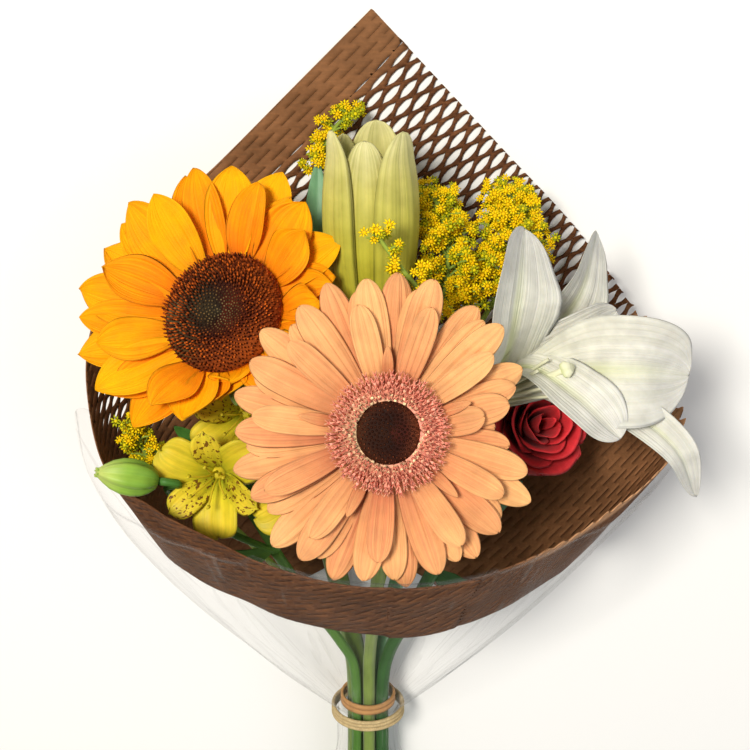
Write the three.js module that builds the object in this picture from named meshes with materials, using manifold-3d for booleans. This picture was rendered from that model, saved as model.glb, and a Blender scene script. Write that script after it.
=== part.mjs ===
// Mixed flower bouquet in a kraft honeycomb wrap and a clear film sleeve, lying on its back panel.
// Units are millimetres, +Z is up, the blooms look towards +Y and +Z, the stems run towards -Y.
import * as THREE from "three";
import { mergeVertices } from "three/addons/utils/BufferGeometryUtils.js";
import Module from "manifold-3d";

const wasm = await Module();
wasm.setup();

// Driving sizes of the bundle and the wrap
const ORIGIN = [5.7, 80.4, 0];
const NECK = new THREE.Vector3(0, 0, 17.3);
const CUT_END_Y = -160;
const SLEEVE_TAIL_Y = -112;
const SEAT_GAP = 0.35;
const PAPER_THICK = 0.9;
const FILM_THICK = 0.6;
const FILM_GAP = 1.1;
const WRAP_RISE = 21.5;
const WELD = 1e-4;

// Driving sizes of the blooms
const SUNFLOWER = { at: [-55.4, 213, 73], facing: [-0.28, 0.58, 0.765], disc: 24 };
const GERBERA = { at: [8, 184, 124], facing: [0.03, 0.323, 0.946], disc: 11.6, fringe: 18.6 };
const ROSE = { at: [69.6, 161.2, 61], facing: [0.18, 0.42, 0.89], radius: 21 };
const LILY = { base: [35, 168, 64], facing: [0.712, 0.486, 0.507] };
const BUD = { base: [2.5, 192, 55.3], tip: [1.5, 283, 52.3], radius: 19.5 };

// Small tools: a repeatable draw, vectors and frames
const draw = (k, seed) => {
  const v = Math.sin(k * 12.9898 + seed * 78.233) * 43758.5453;
  return v - Math.floor(v);
};
const vec = (p) => new THREE.Vector3(p[0], p[1], p[2]);
const rad = (deg) => (deg * Math.PI) / 180;
const mix = (a, b, t) => a + (b - a) * t;
const clamp = (x, lo, hi) => Math.min(hi, Math.max(lo, x));
const smooth = (lo, hi, x) => {
  const t = clamp((x - lo) / (hi - lo), 0, 1);
  return t * t * (3 - 2 * t);
};

// Frame of a bloom: local Z looks along its face, local X stays level to the right
function bloomFrame(at, facing) {
  const z = vec(facing).normalize();
  const x = new THREE.Vector3(0, 1, 0).cross(z).normalize();
  const y = new THREE.Vector3().crossVectors(z, x);
  return new THREE.Matrix4().makeBasis(x, y, z).setPosition(vec(at));
}

// Closed mesh from loose points and faces
function meshOf(points, faces) {
  const geometry = new THREE.BufferGeometry();
  const flat = points.flatMap((p) => [p.x, p.y, p.z]);
  geometry.setAttribute("position", new THREE.Float32BufferAttribute(flat, 3));
  geometry.setIndex(faces.flat());
  return geometry;
}

// Solid from a mesh's points and faces
const solidOf = (positions, index) =>
  new wasm.Manifold(
    new wasm.Mesh({
      numProp: 3,
      vertProperties: new Float32Array(positions),
      triVerts: new Uint32Array(index),
    }),
  );

// Closed body of a geometry, with its faces turned outwards
function toSolid(geometry) {
  const bare = geometry.clone();
  bare.deleteAttribute("normal");
  bare.deleteAttribute("uv");
  const merged = mergeVertices(bare, WELD);
  const positions = merged.attributes.position.array;
  const index = Array.from(merged.index.array);
  const solid = solidOf(positions, index);
  if (solid.volume() >= 0) {
    return solid;
  }
  for (let i = 0; i < index.length; i += 3) {
    [index[i], index[i + 1]] = [index[i + 1], index[i]];
  }
  return solidOf(positions, index);
}

// Join closed bodies into one and keep the largest connected body
function fuse(geometries) {
  const solids = geometries.map((g) => (g instanceof THREE.BufferGeometry ? toSolid(g) : g));
  const whole = solids.length > 1 ? wasm.Manifold.union(solids) : solids[0];
  const bodies = whole.decompose();
  bodies.sort((a, b) => b.volume() - a.volume());
  return bodies[0];
}

function toGeometry(solid) {
  const mesh = solid.getMesh();
  const geometry = new THREE.BufferGeometry();
  geometry.setAttribute("position", new THREE.Float32BufferAttribute(mesh.vertProperties, 3));
  geometry.setIndex(Array.from(mesh.triVerts));
  geometry.computeVertexNormals();
  return geometry;
}

// Blade: a leaf-shaped body from rows {p, side, up, half, cup}; both faces share their edges
function blade(rows, cols, thick) {
  const points = [];
  const faces = [];
  const top = [];
  const under = [];
  const last = rows.length - 1;
  rows.forEach((row, i) => {
    top.push([]);
    under.push([]);
    const tip = i === last;
    for (let j = 0; j <= cols; j += 1) {
      const a = tip ? 0 : (2 * j) / cols - 1;
      if (tip && j > 0) {
        top[i].push(top[i][0]);
        under[i].push(top[i][0]);
        continue;
      }
      const lift = row.cup ? row.cup(a) : 0;
      const spot = row.p.clone();
      spot.addScaledVector(row.side, a * row.half).addScaledVector(row.up, lift);
      const body = tip ? 0 : (thick / 2) * (1 - a * a * a * a);
      points.push(spot.clone().addScaledVector(row.up, body));
      top[i].push(points.length - 1);
      if (tip || j === 0 || j === cols) {
        under[i].push(points.length - 1);
      } else {
        points.push(spot.clone().addScaledVector(row.up, -body));
        under[i].push(points.length - 1);
      }
    }
  });
  const tri = (a, b, c) => {
    if (a !== b && b !== c && a !== c) {
      faces.push([a, b, c]);
    }
  };
  for (let i = 0; i < last; i += 1) {
    for (let j = 0; j < cols; j += 1) {
      tri(top[i][j], top[i + 1][j], top[i + 1][j + 1]);
      tri(top[i][j], top[i + 1][j + 1], top[i][j + 1]);
      tri(under[i][j], under[i + 1][j + 1], under[i + 1][j]);
      tri(under[i][j], under[i][j + 1], under[i + 1][j + 1]);
    }
  }
  for (let j = 0; j < cols; j += 1) {
    tri(top[0][j], top[0][j + 1], under[0][j + 1]);
    tri(top[0][j], under[0][j + 1], under[0][j]);
  }
  return meshOf(points, faces);
}

// Outline of a petal: base width, widest place and how blunt the tip is
const outline = (s, base, peak, blunt, claw = 1) => {
  if (s <= peak) {
    return base + (1 - base) * Math.pow(Math.sin((Math.PI / 2) * (s / peak)), claw);
  }
  const x = (s - peak) / (1 - peak);
  return Math.pow(Math.max(0, 1 - Math.pow(x, blunt)), 0.6);
};

// Petal on a round head: it leaves the axis at radius r0 and bends from rise el0 to el1
function petal(o) {
  const rows = [];
  const stops = o.stops ?? [0, 0.25, 0.5, 0.78, 1];
  const steps = 40;
  const line = [{ r: o.r0, z: o.z0 }];
  for (let k = 0; k < steps; k += 1) {
    const s = (k + 0.5) / steps;
    const el = rad(mix(o.el0, o.el1, Math.pow(s, o.ease ?? 1)));
    const prev = line[k];
    line.push({
      r: prev.r + (Math.cos(el) * o.length) / steps,
      z: prev.z + (Math.sin(el) * o.length) / steps,
    });
  }
  stops.forEach((s) => {
    const k = Math.round(s * steps);
    const el = rad(mix(o.el0, o.el1, Math.pow(s, o.ease ?? 1)));
    const twist = rad((o.twist ?? 0) * (0.35 + 0.65 * s));
    const along = new THREE.Vector3(Math.cos(el), 0, Math.sin(el));
    const normal = new THREE.Vector3(-Math.sin(el), 0, Math.cos(el));
    const level = new THREE.Vector3(0, 1, 0);
    const side = level.clone().applyAxisAngle(along, twist);
    const up = normal.clone().applyAxisAngle(along, twist);
    const p = new THREE.Vector3(line[k].r, (o.bend ?? 0) * s * s, line[k].z);
    const half = (o.width / 2) * outline(s, o.base, o.peak, o.blunt);
    const cup = (a) => (o.cup ?? 0) * half * a * a;
    rows.push({ p, side, up, half, cup });
  });
  const geometry = blade(rows, o.cols ?? 2, o.thick ?? 0.9);
  return geometry.rotateZ(o.theta);
}

// Round bar along a smooth path; ends are closed
function bar(path, r0, r1, sides, steps) {
  const curve = new THREE.CatmullRomCurve3(path, false, "centripetal");
  const spots = curve.getSpacedPoints(steps);
  const points = [];
  const faces = [];
  let side = null;
  spots.forEach((spot, i) => {
    const ahead = curve.getTangentAt(i / steps);
    if (!side) {
      side = new THREE.Vector3(0, 0, 1).cross(ahead);
      if (side.length() < 0.1) {
        side = new THREE.Vector3(1, 0, 0);
      }
    }
    side.addScaledVector(ahead, -side.dot(ahead)).normalize();
    const up = new THREE.Vector3().crossVectors(ahead, side);
    const r = mix(r0, r1, i / steps);
    for (let j = 0; j < sides; j += 1) {
      const a = (2 * Math.PI * j) / sides;
      const rim = spot.clone().addScaledVector(side, r * Math.cos(a));
      points.push(rim.addScaledVector(up, r * Math.sin(a)));
    }
  });
  for (let i = 0; i < steps; i += 1) {
    for (let j = 0; j < sides; j += 1) {
      const k = (j + 1) % sides;
      const a = i * sides;
      const b = a + sides;
      faces.push([a + j, a + k, b + k], [a + j, b + k, b + j]);
    }
  }
  for (let j = 1; j < sides - 1; j += 1) {
    const b = steps * sides;
    faces.push([0, j + 1, j], [b, b + j, b + j + 1]);
  }
  return meshOf(points, faces);
}

// Closed profile turned round local Z
function turn(profile, sides) {
  const shape = profile.map((p) => new THREE.Vector2(p[0], p[1]));
  return new THREE.LatheGeometry(shape, sides).rotateX(Math.PI / 2);
}

// Disc with florets in relief: rings of raised and sunk spots over a solid base
function reliefDisc(radius, rings, sectors, height, dome, depth) {
  const points = [new THREE.Vector3(0, 0, dome(0))];
  const faces = [];
  for (let i = 1; i <= rings; i += 1) {
    const r = (radius * i) / rings;
    for (let j = 0; j < sectors; j += 1) {
      const a = (2 * Math.PI * (j + (i % 2) * 0.5)) / sectors;
      const bump = i === rings ? 0 : height * ((j + i) % 2 ? 1 : -0.4);
      points.push(new THREE.Vector3(r * Math.cos(a), r * Math.sin(a), dome(i / rings) + bump));
    }
  }
  for (let j = 0; j < sectors; j += 1) {
    faces.push([0, 1 + j, 1 + ((j + 1) % sectors)]);
  }
  for (let i = 1; i < rings; i += 1) {
    for (let j = 0; j < sectors; j += 1) {
      const k = (j + 1) % sectors;
      const a = 1 + (i - 1) * sectors;
      const b = a + sectors;
      if (i % 2) {
        faces.push([a + j, b + j, b + k], [a + j, b + k, a + k]);
      } else {
        faces.push([a + j, b + j, a + k], [a + k, b + j, b + k]);
      }
    }
  }
  const edge = 1 + (rings - 1) * sectors;
  const under = points.length;
  for (let j = 0; j < sectors; j += 1) {
    const rim = points[edge + j];
    points.push(new THREE.Vector3(rim.x * 0.92, rim.y * 0.92, -depth));
  }
  points.push(new THREE.Vector3(0, 0, -depth));
  for (let j = 0; j < sectors; j += 1) {
    const k = (j + 1) % sectors;
    faces.push([edge + j, under + j, under + k], [edge + j, under + k, edge + k]);
    faces.push([under + j, points.length - 1, under + k]);
  }
  return meshOf(points, faces);
}

const nodes = new THREE.Group();
nodes.name = "flower_bouquet";

function addNode(name, solid, colour, roughness, extra = {}) {
  const geometry = toGeometry(solid);
  geometry.translate(-ORIGIN[0], -ORIGIN[1], -ORIGIN[2]);
  const material = new THREE.MeshStandardMaterial({ color: colour, roughness, metalness: 0, ...extra });
  const mesh = new THREE.Mesh(geometry, material);
  mesh.name = name;
  nodes.add(mesh);
}

const placed = (geometries, frame) => geometries.map((g) => g.clone().applyMatrix4(frame));

// Sunflower: two layers of pointed rays round a brown relief disc
const sunFrame = bloomFrame(SUNFLOWER.at, SUNFLOWER.facing);
const sunRays = [];
const SUN_LAYERS = [
  { count: 9, shift: 0.0, r0: 19, z0: -6.8, length: 42, width: 21, el0: 4, el1: 10, swing: 16 },
  { count: 9, shift: 0.5, r0: 20, z0: -5.6, length: 39, width: 21, el0: 12, el1: 16, swing: 18 },
  { count: 9, shift: 0.25, r0: 22, z0: -5.3, length: 32, width: 18, el0: 24, el1: 34, swing: 26 },
];
const SHORTER_RAYS = { below: 0.17, right: 0.34, corner: 0.5, cornerAt: -1.19 };
SUN_LAYERS.forEach((layer, n) => {
  for (let k = 0; k < layer.count; k += 1) {
    const a = draw(k, 1 + 2 * n);
    const b = draw(k, 2 + 2 * n);
    const theta = (2 * Math.PI * (k + layer.shift + 0.25 * (a - 0.5))) / layer.count;
    const below = SHORTER_RAYS.below * Math.max(0, -Math.sin(theta));
    const right = SHORTER_RAYS.right * Math.max(0, Math.cos(theta));
    const corner = SHORTER_RAYS.corner * Math.pow(Math.max(0, Math.cos(theta - SHORTER_RAYS.cornerAt)), 6);
    const reach = 1 - below - right - corner;
    sunRays.push(
      petal({
        theta, r0: layer.r0, z0: layer.z0, length: (layer.length + 5 * a) * reach,
        width: layer.width + 2 * b,
        el0: layer.el0, el1: layer.el1 + layer.swing * (a - 0.5), stops: [0, 0.35, 0.75, 1],
        base: 0.42, peak: 0.5, blunt: 1.7, cup: 0.3, twist: 16 * (b - 0.5), bend: 5 * (b - 0.5), thick: 1.0,
      }),
    );
  }
});
sunRays.push(turn([[0, -8], [23, -8], [24.2, -6.4], [23.4, -3.5], [0, -3.5], [0, -8]], 14));
addNode("sunflower_petals", fuse(placed(sunRays, sunFrame)), 0xf5a111, 0.6);

const sunDome = (x) => 3.4 * Math.sin(Math.PI * clamp(x * 1.1 - 0.12, 0, 1)) - 1.6 * smooth(0.85, 1, x);
const sunDisc = reliefDisc(SUNFLOWER.disc, 6, 22, 0.9, sunDome, 3.1);
addNode("sunflower_disc", fuse(placed([sunDisc], sunFrame)), 0x3a1a0c, 0.85);

// Gerbera: three layers of strap petals, a pale fringe of florets and a dark eye
const gerFrame = bloomFrame(GERBERA.at, GERBERA.facing);
const straps = [];
const STRAP_LAYERS = [
  { count: 13, shift: 0.0, z0: -5.2, length: 42, width: 12.2, el0: 7, el1: -7, cup: -0.16 },
  { count: 13, shift: 0.5, z0: -4.4, length: 41, width: 12.2, el0: 11, el1: -2, cup: -0.1 },
  { count: 11, shift: 0.2, z0: -3.7, length: 34, width: 9.8, el0: 18, el1: 3, cup: 0.18 },
];
const STRAP_GAP = { at: 0.05, share: 0.42 };
STRAP_LAYERS.forEach((layer, n) => {
  for (let k = 0; k < layer.count; k += 1) {
    const a = draw(k, 11 + 2 * n);
    const b = draw(k, 12 + 2 * n);
    const theta = (2 * Math.PI * (k + layer.shift + 0.2 * (a - 0.5))) / layer.count;
    const reach = 1 - STRAP_GAP.share * Math.pow(Math.max(0, Math.cos(theta - STRAP_GAP.at)), 40);
    straps.push(
      petal({
        theta, r0: 12.5, z0: layer.z0, length: (layer.length + 3.5 * a) * reach, width: layer.width + 1.2 * b,
        el0: layer.el0, el1: layer.el1 + 6 * (a - 0.5), stops: [0, 0.4, 0.84, 1],
        base: 0.42, peak: 0.66, blunt: 2.8, cup: layer.cup, twist: 6, bend: 2.4 * (b - 0.5), thick: 0.9,
      }),
    );
  }
});
const SHORT_STRAPS = 5;
for (let k = 0; k < SHORT_STRAPS; k += 1) {
  const a = draw(k, 17);
  straps.push(
    petal({
      theta: (2 * Math.PI * (k + 0.4 * a)) / SHORT_STRAPS, r0: 16.2, z0: -2.6, stops: [0, 0.6, 1],
      length: 11 + 7 * a, width: 4.4 + 1.4 * a, el0: 22, el1: 14,
      base: 0.5, peak: 0.55, blunt: 2.4, cup: 0.3,
    }),
  );
}
straps.push(turn([[0, -6.6], [15.5, -6.6], [18.4, -4.6], [18.2, -1.4], [0, -1.4], [0, -6.6]], 13));
addNode("gerbera_petals", fuse(placed(straps, gerFrame)), 0xe9b98c, 0.62);

const TUFTS = 13;
const tufts = [];
tufts.push(
  turn([[12, -0.9], [GERBERA.fringe - 1.2, -0.9], [GERBERA.fringe - 0.8, 0.5], [12, 1.2], [12, -0.9]], 18),
);
for (let k = 0; k < TUFTS; k += 1) {
  const row = k % 2;
  const a = (2 * Math.PI * k) / TUFTS;
  const r = row ? 16.6 : 13.6;
  const lean = row ? 34 : 8;
  const tall = 3.4 + 1.6 * draw(k, 18);
  const root = new THREE.Vector3(r, 0, 0.2);
  const tipX = r + tall * Math.sin(rad(lean));
  const tip = new THREE.Vector3(tipX, draw(k, 19) - 0.5, 0.2 + tall * Math.cos(rad(lean)));
  tufts.push(bar([root, tip], 1.5, 0.45, 3, 1).rotateZ(a));
}
addNode("gerbera_fringe", fuse(placed(tufts, gerFrame)), 0xd9918a, 0.8);

const eyeDome = (x) => 3.2 - 1.0 * x * x - 1.2 * smooth(0.8, 1, x);
const eye = reliefDisc(GERBERA.disc, 4, 16, 0.7, eyeDome, 0.9);
addNode("gerbera_disc", fuse(placed([eye], gerFrame)), 0x36120e, 0.85);

// Rose: cupped petals wound round a tight heart
const roseFrame = bloomFrame(ROSE.at, ROSE.facing);
function cupPetal(o) {
  const rows = [0, 0.4, 0.8, 1];
  const cols = 3;
  const at = (a, h, inset) => {
    const low = Math.sin((Math.PI / 2) * Math.min(1, h * 1.25));
    const r = o.radius * (0.3 + 0.7 * low) + o.curl * Math.pow(Math.max(0, h - 0.6) / 0.4, 2) - inset;
    const drop = 0.16 * a * a * h;
    const ang = o.theta + a * o.span * (0.5 + 0.5 * Math.sin(Math.PI * Math.min(1, 0.2 + 0.75 * h)));
    const curl = o.curl * 0.22 * Math.pow(Math.max(0, h - 0.75) / 0.25, 2);
    const z = o.z0 + o.height * (h - drop) - curl;
    return new THREE.Vector3(r * Math.cos(ang), r * Math.sin(ang), z);
  };
  const points = [];
  const faces = [];
  const ids = [0, 1].map((face) =>
    rows.map((h) =>
      Array.from({ length: cols + 1 }, (_, j) => {
        points.push(at((2 * j) / cols - 1, h, face ? 1.0 : 0));
        return points.length - 1;
      }),
    ),
  );
  const [outer, inner] = ids;
  const quad = (a, b, c, d) => faces.push([a, b, c], [a, c, d]);
  for (let i = 0; i < rows.length - 1; i += 1) {
    for (let j = 0; j < cols; j += 1) {
      quad(outer[i][j], outer[i][j + 1], outer[i + 1][j + 1], outer[i + 1][j]);
      faces.push([inner[i][j], inner[i + 1][j + 1], inner[i][j + 1]]);
      faces.push([inner[i][j], inner[i + 1][j], inner[i + 1][j + 1]]);
    }
    quad(outer[i][0], outer[i + 1][0], inner[i + 1][0], inner[i][0]);
    quad(outer[i][cols], inner[i][cols], inner[i + 1][cols], outer[i + 1][cols]);
  }
  const n = rows.length - 1;
  for (let j = 0; j < cols; j += 1) {
    quad(outer[0][j], inner[0][j], inner[0][j + 1], outer[0][j + 1]);
    quad(outer[n][j], outer[n][j + 1], inner[n][j + 1], inner[n][j]);
  }
  return meshOf(points, faces);
}
const ROSE_PETALS = 8;
const rosePetals = [];
for (let k = 0; k < ROSE_PETALS; k += 1) {
  const f = k / (ROSE_PETALS - 1);
  rosePetals.push(
    cupPetal({
      theta: k * 2.4 + 0.4, radius: mix(3.4, ROSE.radius - 3.5, Math.pow(f, 0.85)), curl: mix(0, 4.5, f),
      span: mix(1.9, 1.0, f), z0: mix(-15, -17, f), height: mix(31, 25, f * f),
    }),
  );
}
rosePetals.push(turn([[0, -19], [5, -19], [8.5, -16.5], [7, -12.5], [0, -12], [0, -19]], 12));
rosePetals.push(turn([[0, -15], [2.6, -13], [3.2, 6], [1.4, 13], [0, 14], [0, -15]], 6));
addNode("rose_petals", fuse(placed(rosePetals, roseFrame)), 0x7c0d1e, 0.55);

// Lily: six white tepals from one throat, each with its own sweep, with pistil and filaments
function sweptBlade(o) {
  const curve = new THREE.CatmullRomCurve3(o.path.map(vec), false, "centripetal");
  const face = vec(o.face).normalize();
  const rows = o.stops.map((s) => {
    const along = curve.getTangentAt(s);
    const side = new THREE.Vector3().crossVectors(face, along).normalize();
    const up = new THREE.Vector3().crossVectors(along, side).normalize();
    const half = (o.width / 2) * outline(s, o.base, o.peak, o.blunt, o.claw);
    const wave = (o.wave ?? 0) * Math.sin(9 * s);
    const cup = (a) => (o.cup ?? 0) * half * a * a + wave * a * Math.abs(a);
    return { p: curve.getPointAt(s), side, up, half, cup };
  });
  return blade(rows, o.cols ?? 4, o.thick ?? 1.1);
}
const LILY_STOPS = [0, 0.26, 0.54, 0.82, 1];
const lilyTepals = [
  { path: [[36, 172, 67], [52, 194, 80], [56, 222, 91], [59, 246, 75]],
    face: [0.6, 0.1, 0.7], width: 36, blunt: 2.8, peak: 0.64 },
  { path: [[38, 172, 65], [60, 192, 72], [82, 216, 66], [91, 238, 47]], face: [0.1, -0.5, 0.8], width: 30 },
  { path: [[39, 171, 64], [62, 189, 74], [84, 203, 76], [98, 210, 62]],
    face: [0.1, 0.2, 0.9], width: 26, cols: 2 },
  { path: [[40, 169, 65], [68, 189, 78], [100, 196, 93], [123, 191, 84]],
    face: [-0.3, 0.25, 0.9], width: 42, blunt: 2.4, base: 0.12, peak: 0.68, claw: 3.5 },
  { path: [[39, 168, 65], [65, 191, 72], [94, 183, 90], [116, 168, 99], [128, 143, 90]],
    face: [0.25, 0.3, 0.9], width: 16, base: 0.2, claw: 2, cols: 2 },
  { path: [[37, 169, 67], [60, 193, 79], [78, 188, 97], [94, 174, 106]],
    face: [0.2, 0.75, 0.6], width: 24, blunt: 3.2, peak: 0.74, claw: 2 },
].map((o) =>
  sweptBlade({
    base: 0.24, peak: 0.56, blunt: 1.9, cup: 0.3, wave: 0.7, thick: 1.1, stops: LILY_STOPS, ...o,
  }),
);
const lilyAxis = bloomFrame(LILY.base, LILY.facing);
const lilyHeart = [turn([[0, -1], [4, -1], [5.4, 3], [4, 9], [0, 9], [0, -1]], 7)];
lilyHeart.push(bar([[0, 0, 4], [0.5, 0.5, 36], [2, 1, 55]].map(vec), 1.4, 1.2, 5, 4));
lilyHeart.push(turn([[0, 53.5], [2.6, 54], [3, 56], [1.8, 58], [0, 58], [0, 53.5]], 6).translate(2, 1, 0));
for (let k = 0; k < 3; k += 1) {
  const a = (2 * Math.PI * k) / 3 + 0.3;
  const out = (r, z) => new THREE.Vector3(r * Math.cos(a), r * Math.sin(a), z);
  lilyHeart.push(bar([out(1.2, 4), out(3.4, 30), out(7, 50)], 0.9, 0.7, 3, 3));
}
addNode("lily_bloom", fuse([...lilyTepals, ...placed(lilyHeart, lilyAxis)]), 0xeff0e6, 0.5);

// Half-open lily bud: six cupped tepals closing to a loose mouth
const budAxis = vec(BUD.tip).sub(vec(BUD.base));
const budLong = budAxis.length();
const budFrame = bloomFrame(BUD.base, budAxis.toArray());
const budRadius = (h) =>
  BUD.radius * (0.24 + 0.76 * Math.pow(Math.sin(Math.PI * (0.02 + 0.74 * h)), 0.8)) - 1.5 * h;
const budTepals = [];
for (let k = 0; k < 6; k += 1) {
  const inner = k % 2;
  const ring = (h) => (inner ? budRadius(h) - 2.0 : budRadius(h));
  const span = inner ? 0.75 : 0.85;
  const tall = budLong * (inner ? 0.93 : 1.0 - 0.05 * draw(k, 21));
  const rows = [0, 0.24, 0.6, 0.88, 1].map((h) => {
    const a = (Math.PI * k) / 3 + 0.05;
    const r = ring(h) + (h > 0.9 ? 1.5 : 0);
    const out = new THREE.Vector3(Math.cos(a), Math.sin(a), 0);
    const side = new THREE.Vector3(-Math.sin(a), Math.cos(a), 0);
    const half = Math.max(0.4, r * Math.sin(span)) * Math.pow(Math.max(0, 1 - Math.pow(h, 8)), 0.5);
    const p = out.clone().multiplyScalar(r).setZ(tall * h);
    const cup = (x) => -(half * half * x * x) / (r + Math.sqrt(Math.max(1, r * r - half * half * x * x)));
    return { p, side, up: out, half: Math.min(half, r * 0.9), cup };
  });
  budTepals.push(blade(rows, 3, 1.3));
}
budTepals.push(turn([[0, -1], [4.6, -1], [7.2, 3], [5, 9], [0, 9], [0, -1]], 10));
addNode("lily_bud_tepals", fuse(placed(budTepals, budFrame)), 0xdfe6c0, 0.5);

// Alstroemeria: three yellow-green flowers with notched tepals and curved stamens
const ALSTROEMERIA = [
  { name: "alstroemeria_flower_1", at: [-48.7, 169.9, 78.4], facing: [0, 0.15, 0.98], size: 20, seed: 31 },
  { name: "alstroemeria_flower_2", at: [-60.3, 150.8, 96.4], facing: [-0.15, 0.1, 0.97], size: 20.4, seed: 32 },
  { name: "alstroemeria_flower_3", at: [-23, 147, 100.6], facing: [0, -0.05, 0.99], size: 20, seed: 33 },
];
ALSTROEMERIA.forEach((flower) => {
  const parts = [];
  for (let k = 0; k < 6; k += 1) {
    const a = draw(k, flower.seed);
    const broad = k % 2 === 0;
    parts.push(
      petal({
        theta: (Math.PI * (k + 0.2 * (a - 0.5))) / 3 + flower.seed, r0: 2.2, z0: -16,
        length: flower.size * (broad ? 1.28 : 1.2), width: flower.size * (broad ? 0.95 : 0.6),
        el0: 66, el1: broad ? 6 : 24, ease: 0.8, base: 0.26, peak: 0.68, blunt: 3.2,
        cup: 0.22, twist: 8, thick: 0.9, stops: [0, 0.45, 0.88, 1],
      }),
    );
  }
  for (let k = 0; k < 3; k += 1) {
    const a = (2 * Math.PI * k) / 3 + flower.seed;
    const out = (r, z) => new THREE.Vector3(r * Math.cos(a), r * Math.sin(a), z);
    parts.push(bar([out(0.8, -17), out(3, -6), out(8, 1 + 2 * draw(k, 34))], 0.7, 0.9, 3, 2));
  }
  parts.push(turn([[0, -20], [2.2, -20], [3.2, -17], [2.4, -13], [0, -12], [0, -20]], 8));
  const frame = bloomFrame(flower.at, flower.facing);
  addNode(flower.name, fuse(placed(parts, frame)), 0xc9bf3a, 0.6);
  flower.root = new THREE.Vector3(0, 0, -20 - SEAT_GAP).applyMatrix4(frame);
  flower.back = new THREE.Vector3(0, 0, -34).applyMatrix4(frame);
});

// Closed green alstroemeria bud with ribs
const GREEN_BUD = { base: [-79.5, 152.5, 96.3], tip: [-97.5, 158, 101.8] };
const greenAxis = vec(GREEN_BUD.tip).sub(vec(GREEN_BUD.base));
const greenFrame = bloomFrame(GREEN_BUD.base, greenAxis.toArray());
const ribbed = turn([[0, 0], [3, 0], [6.2, 6], [6.4, 14], [3.2, 21], [0, 24], [0, 0]], 18);
const ribSpots = ribbed.attributes.position;
for (let i = 0; i < ribSpots.count; i += 1) {
  const rib = 1 + 0.1 * Math.cos(6 * Math.atan2(ribSpots.getY(i), ribSpots.getX(i)));
  ribSpots.setXY(i, ribSpots.getX(i) * rib, ribSpots.getY(i) * rib);
}
addNode("alstroemeria_bud", fuse(placed([ribbed], greenFrame)), 0x8fae3c, 0.6);

// Solidago: plumes of small florets on thin side shoots
const SPRAYS = [
  {
    name: "solidago_spray_1", shoots: 6, reach: 16,
    path: [[26, 196, 52], [31, 216, 56], [32, 232, 48], [27, 250, 30]],
  },
  {
    name: "solidago_spray_2", shoots: 6, reach: 18,
    path: [[47, 200, 44], [55, 219, 50], [59, 234, 42], [58, 248, 24]],
  },
  {
    name: "solidago_spray_3", shoots: 4, reach: 10,
    path: [[-20, 246, 22], [-19, 260, 18], [-14, 272, 12], [-6, 280, 8]],
  },
  {
    name: "solidago_spray_4", shoots: 4, reach: 9,
    path: [[-83, 139, 60], [-88, 147, 65], [-91, 157, 68], [-93, 167, 70]],
  },
  {
    name: "solidago_spray_5", shoots: 4, reach: 9,
    path: [[25, 206, 84], [22, 222, 90], [12, 236, 90], [3, 248, 88]],
  },
];
function floret(at, size, k) {
  const bead = new THREE.OctahedronGeometry(size).rotateZ(2 * draw(k, 46)).rotateX(draw(k, 47));
  return bead.translate(at.x, at.y, at.z);
}
SPRAYS.forEach((spray, n) => {
  const seed = 41 + n;
  const curve = new THREE.CatmullRomCurve3(spray.path.map(vec), false, "centripetal");
  const parts = [bar(spray.path.map(vec), 1.1, 0.8, 3, 4)];
  parts.push(floret(curve.getPointAt(1), 3, seed));
  for (let k = 0; k < spray.shoots; k += 1) {
    const s = (k + 0.8) / spray.shoots;
    const root = curve.getPointAt(s * 0.94);
    const along = curve.getTangentAt(s * 0.94);
    const turnBy = k * 2.4 + draw(k, seed) * 0.8;
    const off = new THREE.Vector3(Math.cos(turnBy), 0.15, 0.75 * Math.sin(turnBy)).normalize();
    const long = spray.reach * (1 - 0.45 * s) * (0.8 + 0.4 * draw(k, seed + 9));
    const mid = root.clone().addScaledVector(off, long * 0.5).addScaledVector(along, long * 0.3);
    const tip = root.clone().addScaledVector(off, long).addScaledVector(along, long * 0.35);
    parts.push(bar([root, mid, tip], 0.7, 0.6, 3, 2));
    const shoot = new THREE.CatmullRomCurve3([root, mid, tip]);
    const count = Math.max(1, Math.round(long / 7));
    for (let i = 1; i <= count; i += 1) {
      const spot = shoot.getPointAt(i / count);
      const jig = (n) => 2.2 * (draw(i + 20 * k, seed + n) - 0.5);
      spot.add(new THREE.Vector3(jig(1), jig(2), jig(3)));
      parts.push(floret(spot, 3.6 + 0.9 * draw(i, seed + k), i + k));
    }
  }
  addNode(spray.name, fuse(parts), 0xe3c51a, 0.75);
});

// Stems: each runs from its bloom through its own place in the neck to a cut end
const STEM_AT_NECK = {
  sunflower: { x: -5.0, z: -1.0, r: 4.5 },
  lily: { x: 4.2, z: -2.6, r: 4.0 },
  gerbera: { x: 0.5, z: 6.0, r: 2.75 },
  rose: { x: 6.8, z: 4.8, r: 3.0 },
  alstroemeria: { x: -5.4, z: 6.6, r: 2.5 },
  solidago_right: { x: 0.6, z: -8.8, r: 2.0 },
  solidago_left: { x: -5.0, z: -7.6, r: 1.75 },
};
function stemPath(name, upper, spread) {
  const slot = STEM_AT_NECK[name];
  const at = (f, y) => new THREE.Vector3(slot.x * f, y, NECK.z + slot.z * f);
  const cut = CUT_END_Y + 14 * draw(slot.r * 10, 51);
  const path = [...upper.map((p) => (Array.isArray(p) ? vec(p) : p))];
  path.push(at(1.25, 26), at(1, 8), at(1, -10), at(1 + 0.35 * spread, cut * 0.5), at(1 + 0.8 * spread, cut));
  path[path.length - 1].z = Math.max(path[path.length - 1].z, slot.r + 1.2);
  return path;
}
const LEAF_STOPS = [0, 0.25, 0.5, 0.75, 1];
const LONG_LEAF_STOPS = [0, 0.2, 0.4, 0.6, 0.8, 1];
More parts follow.
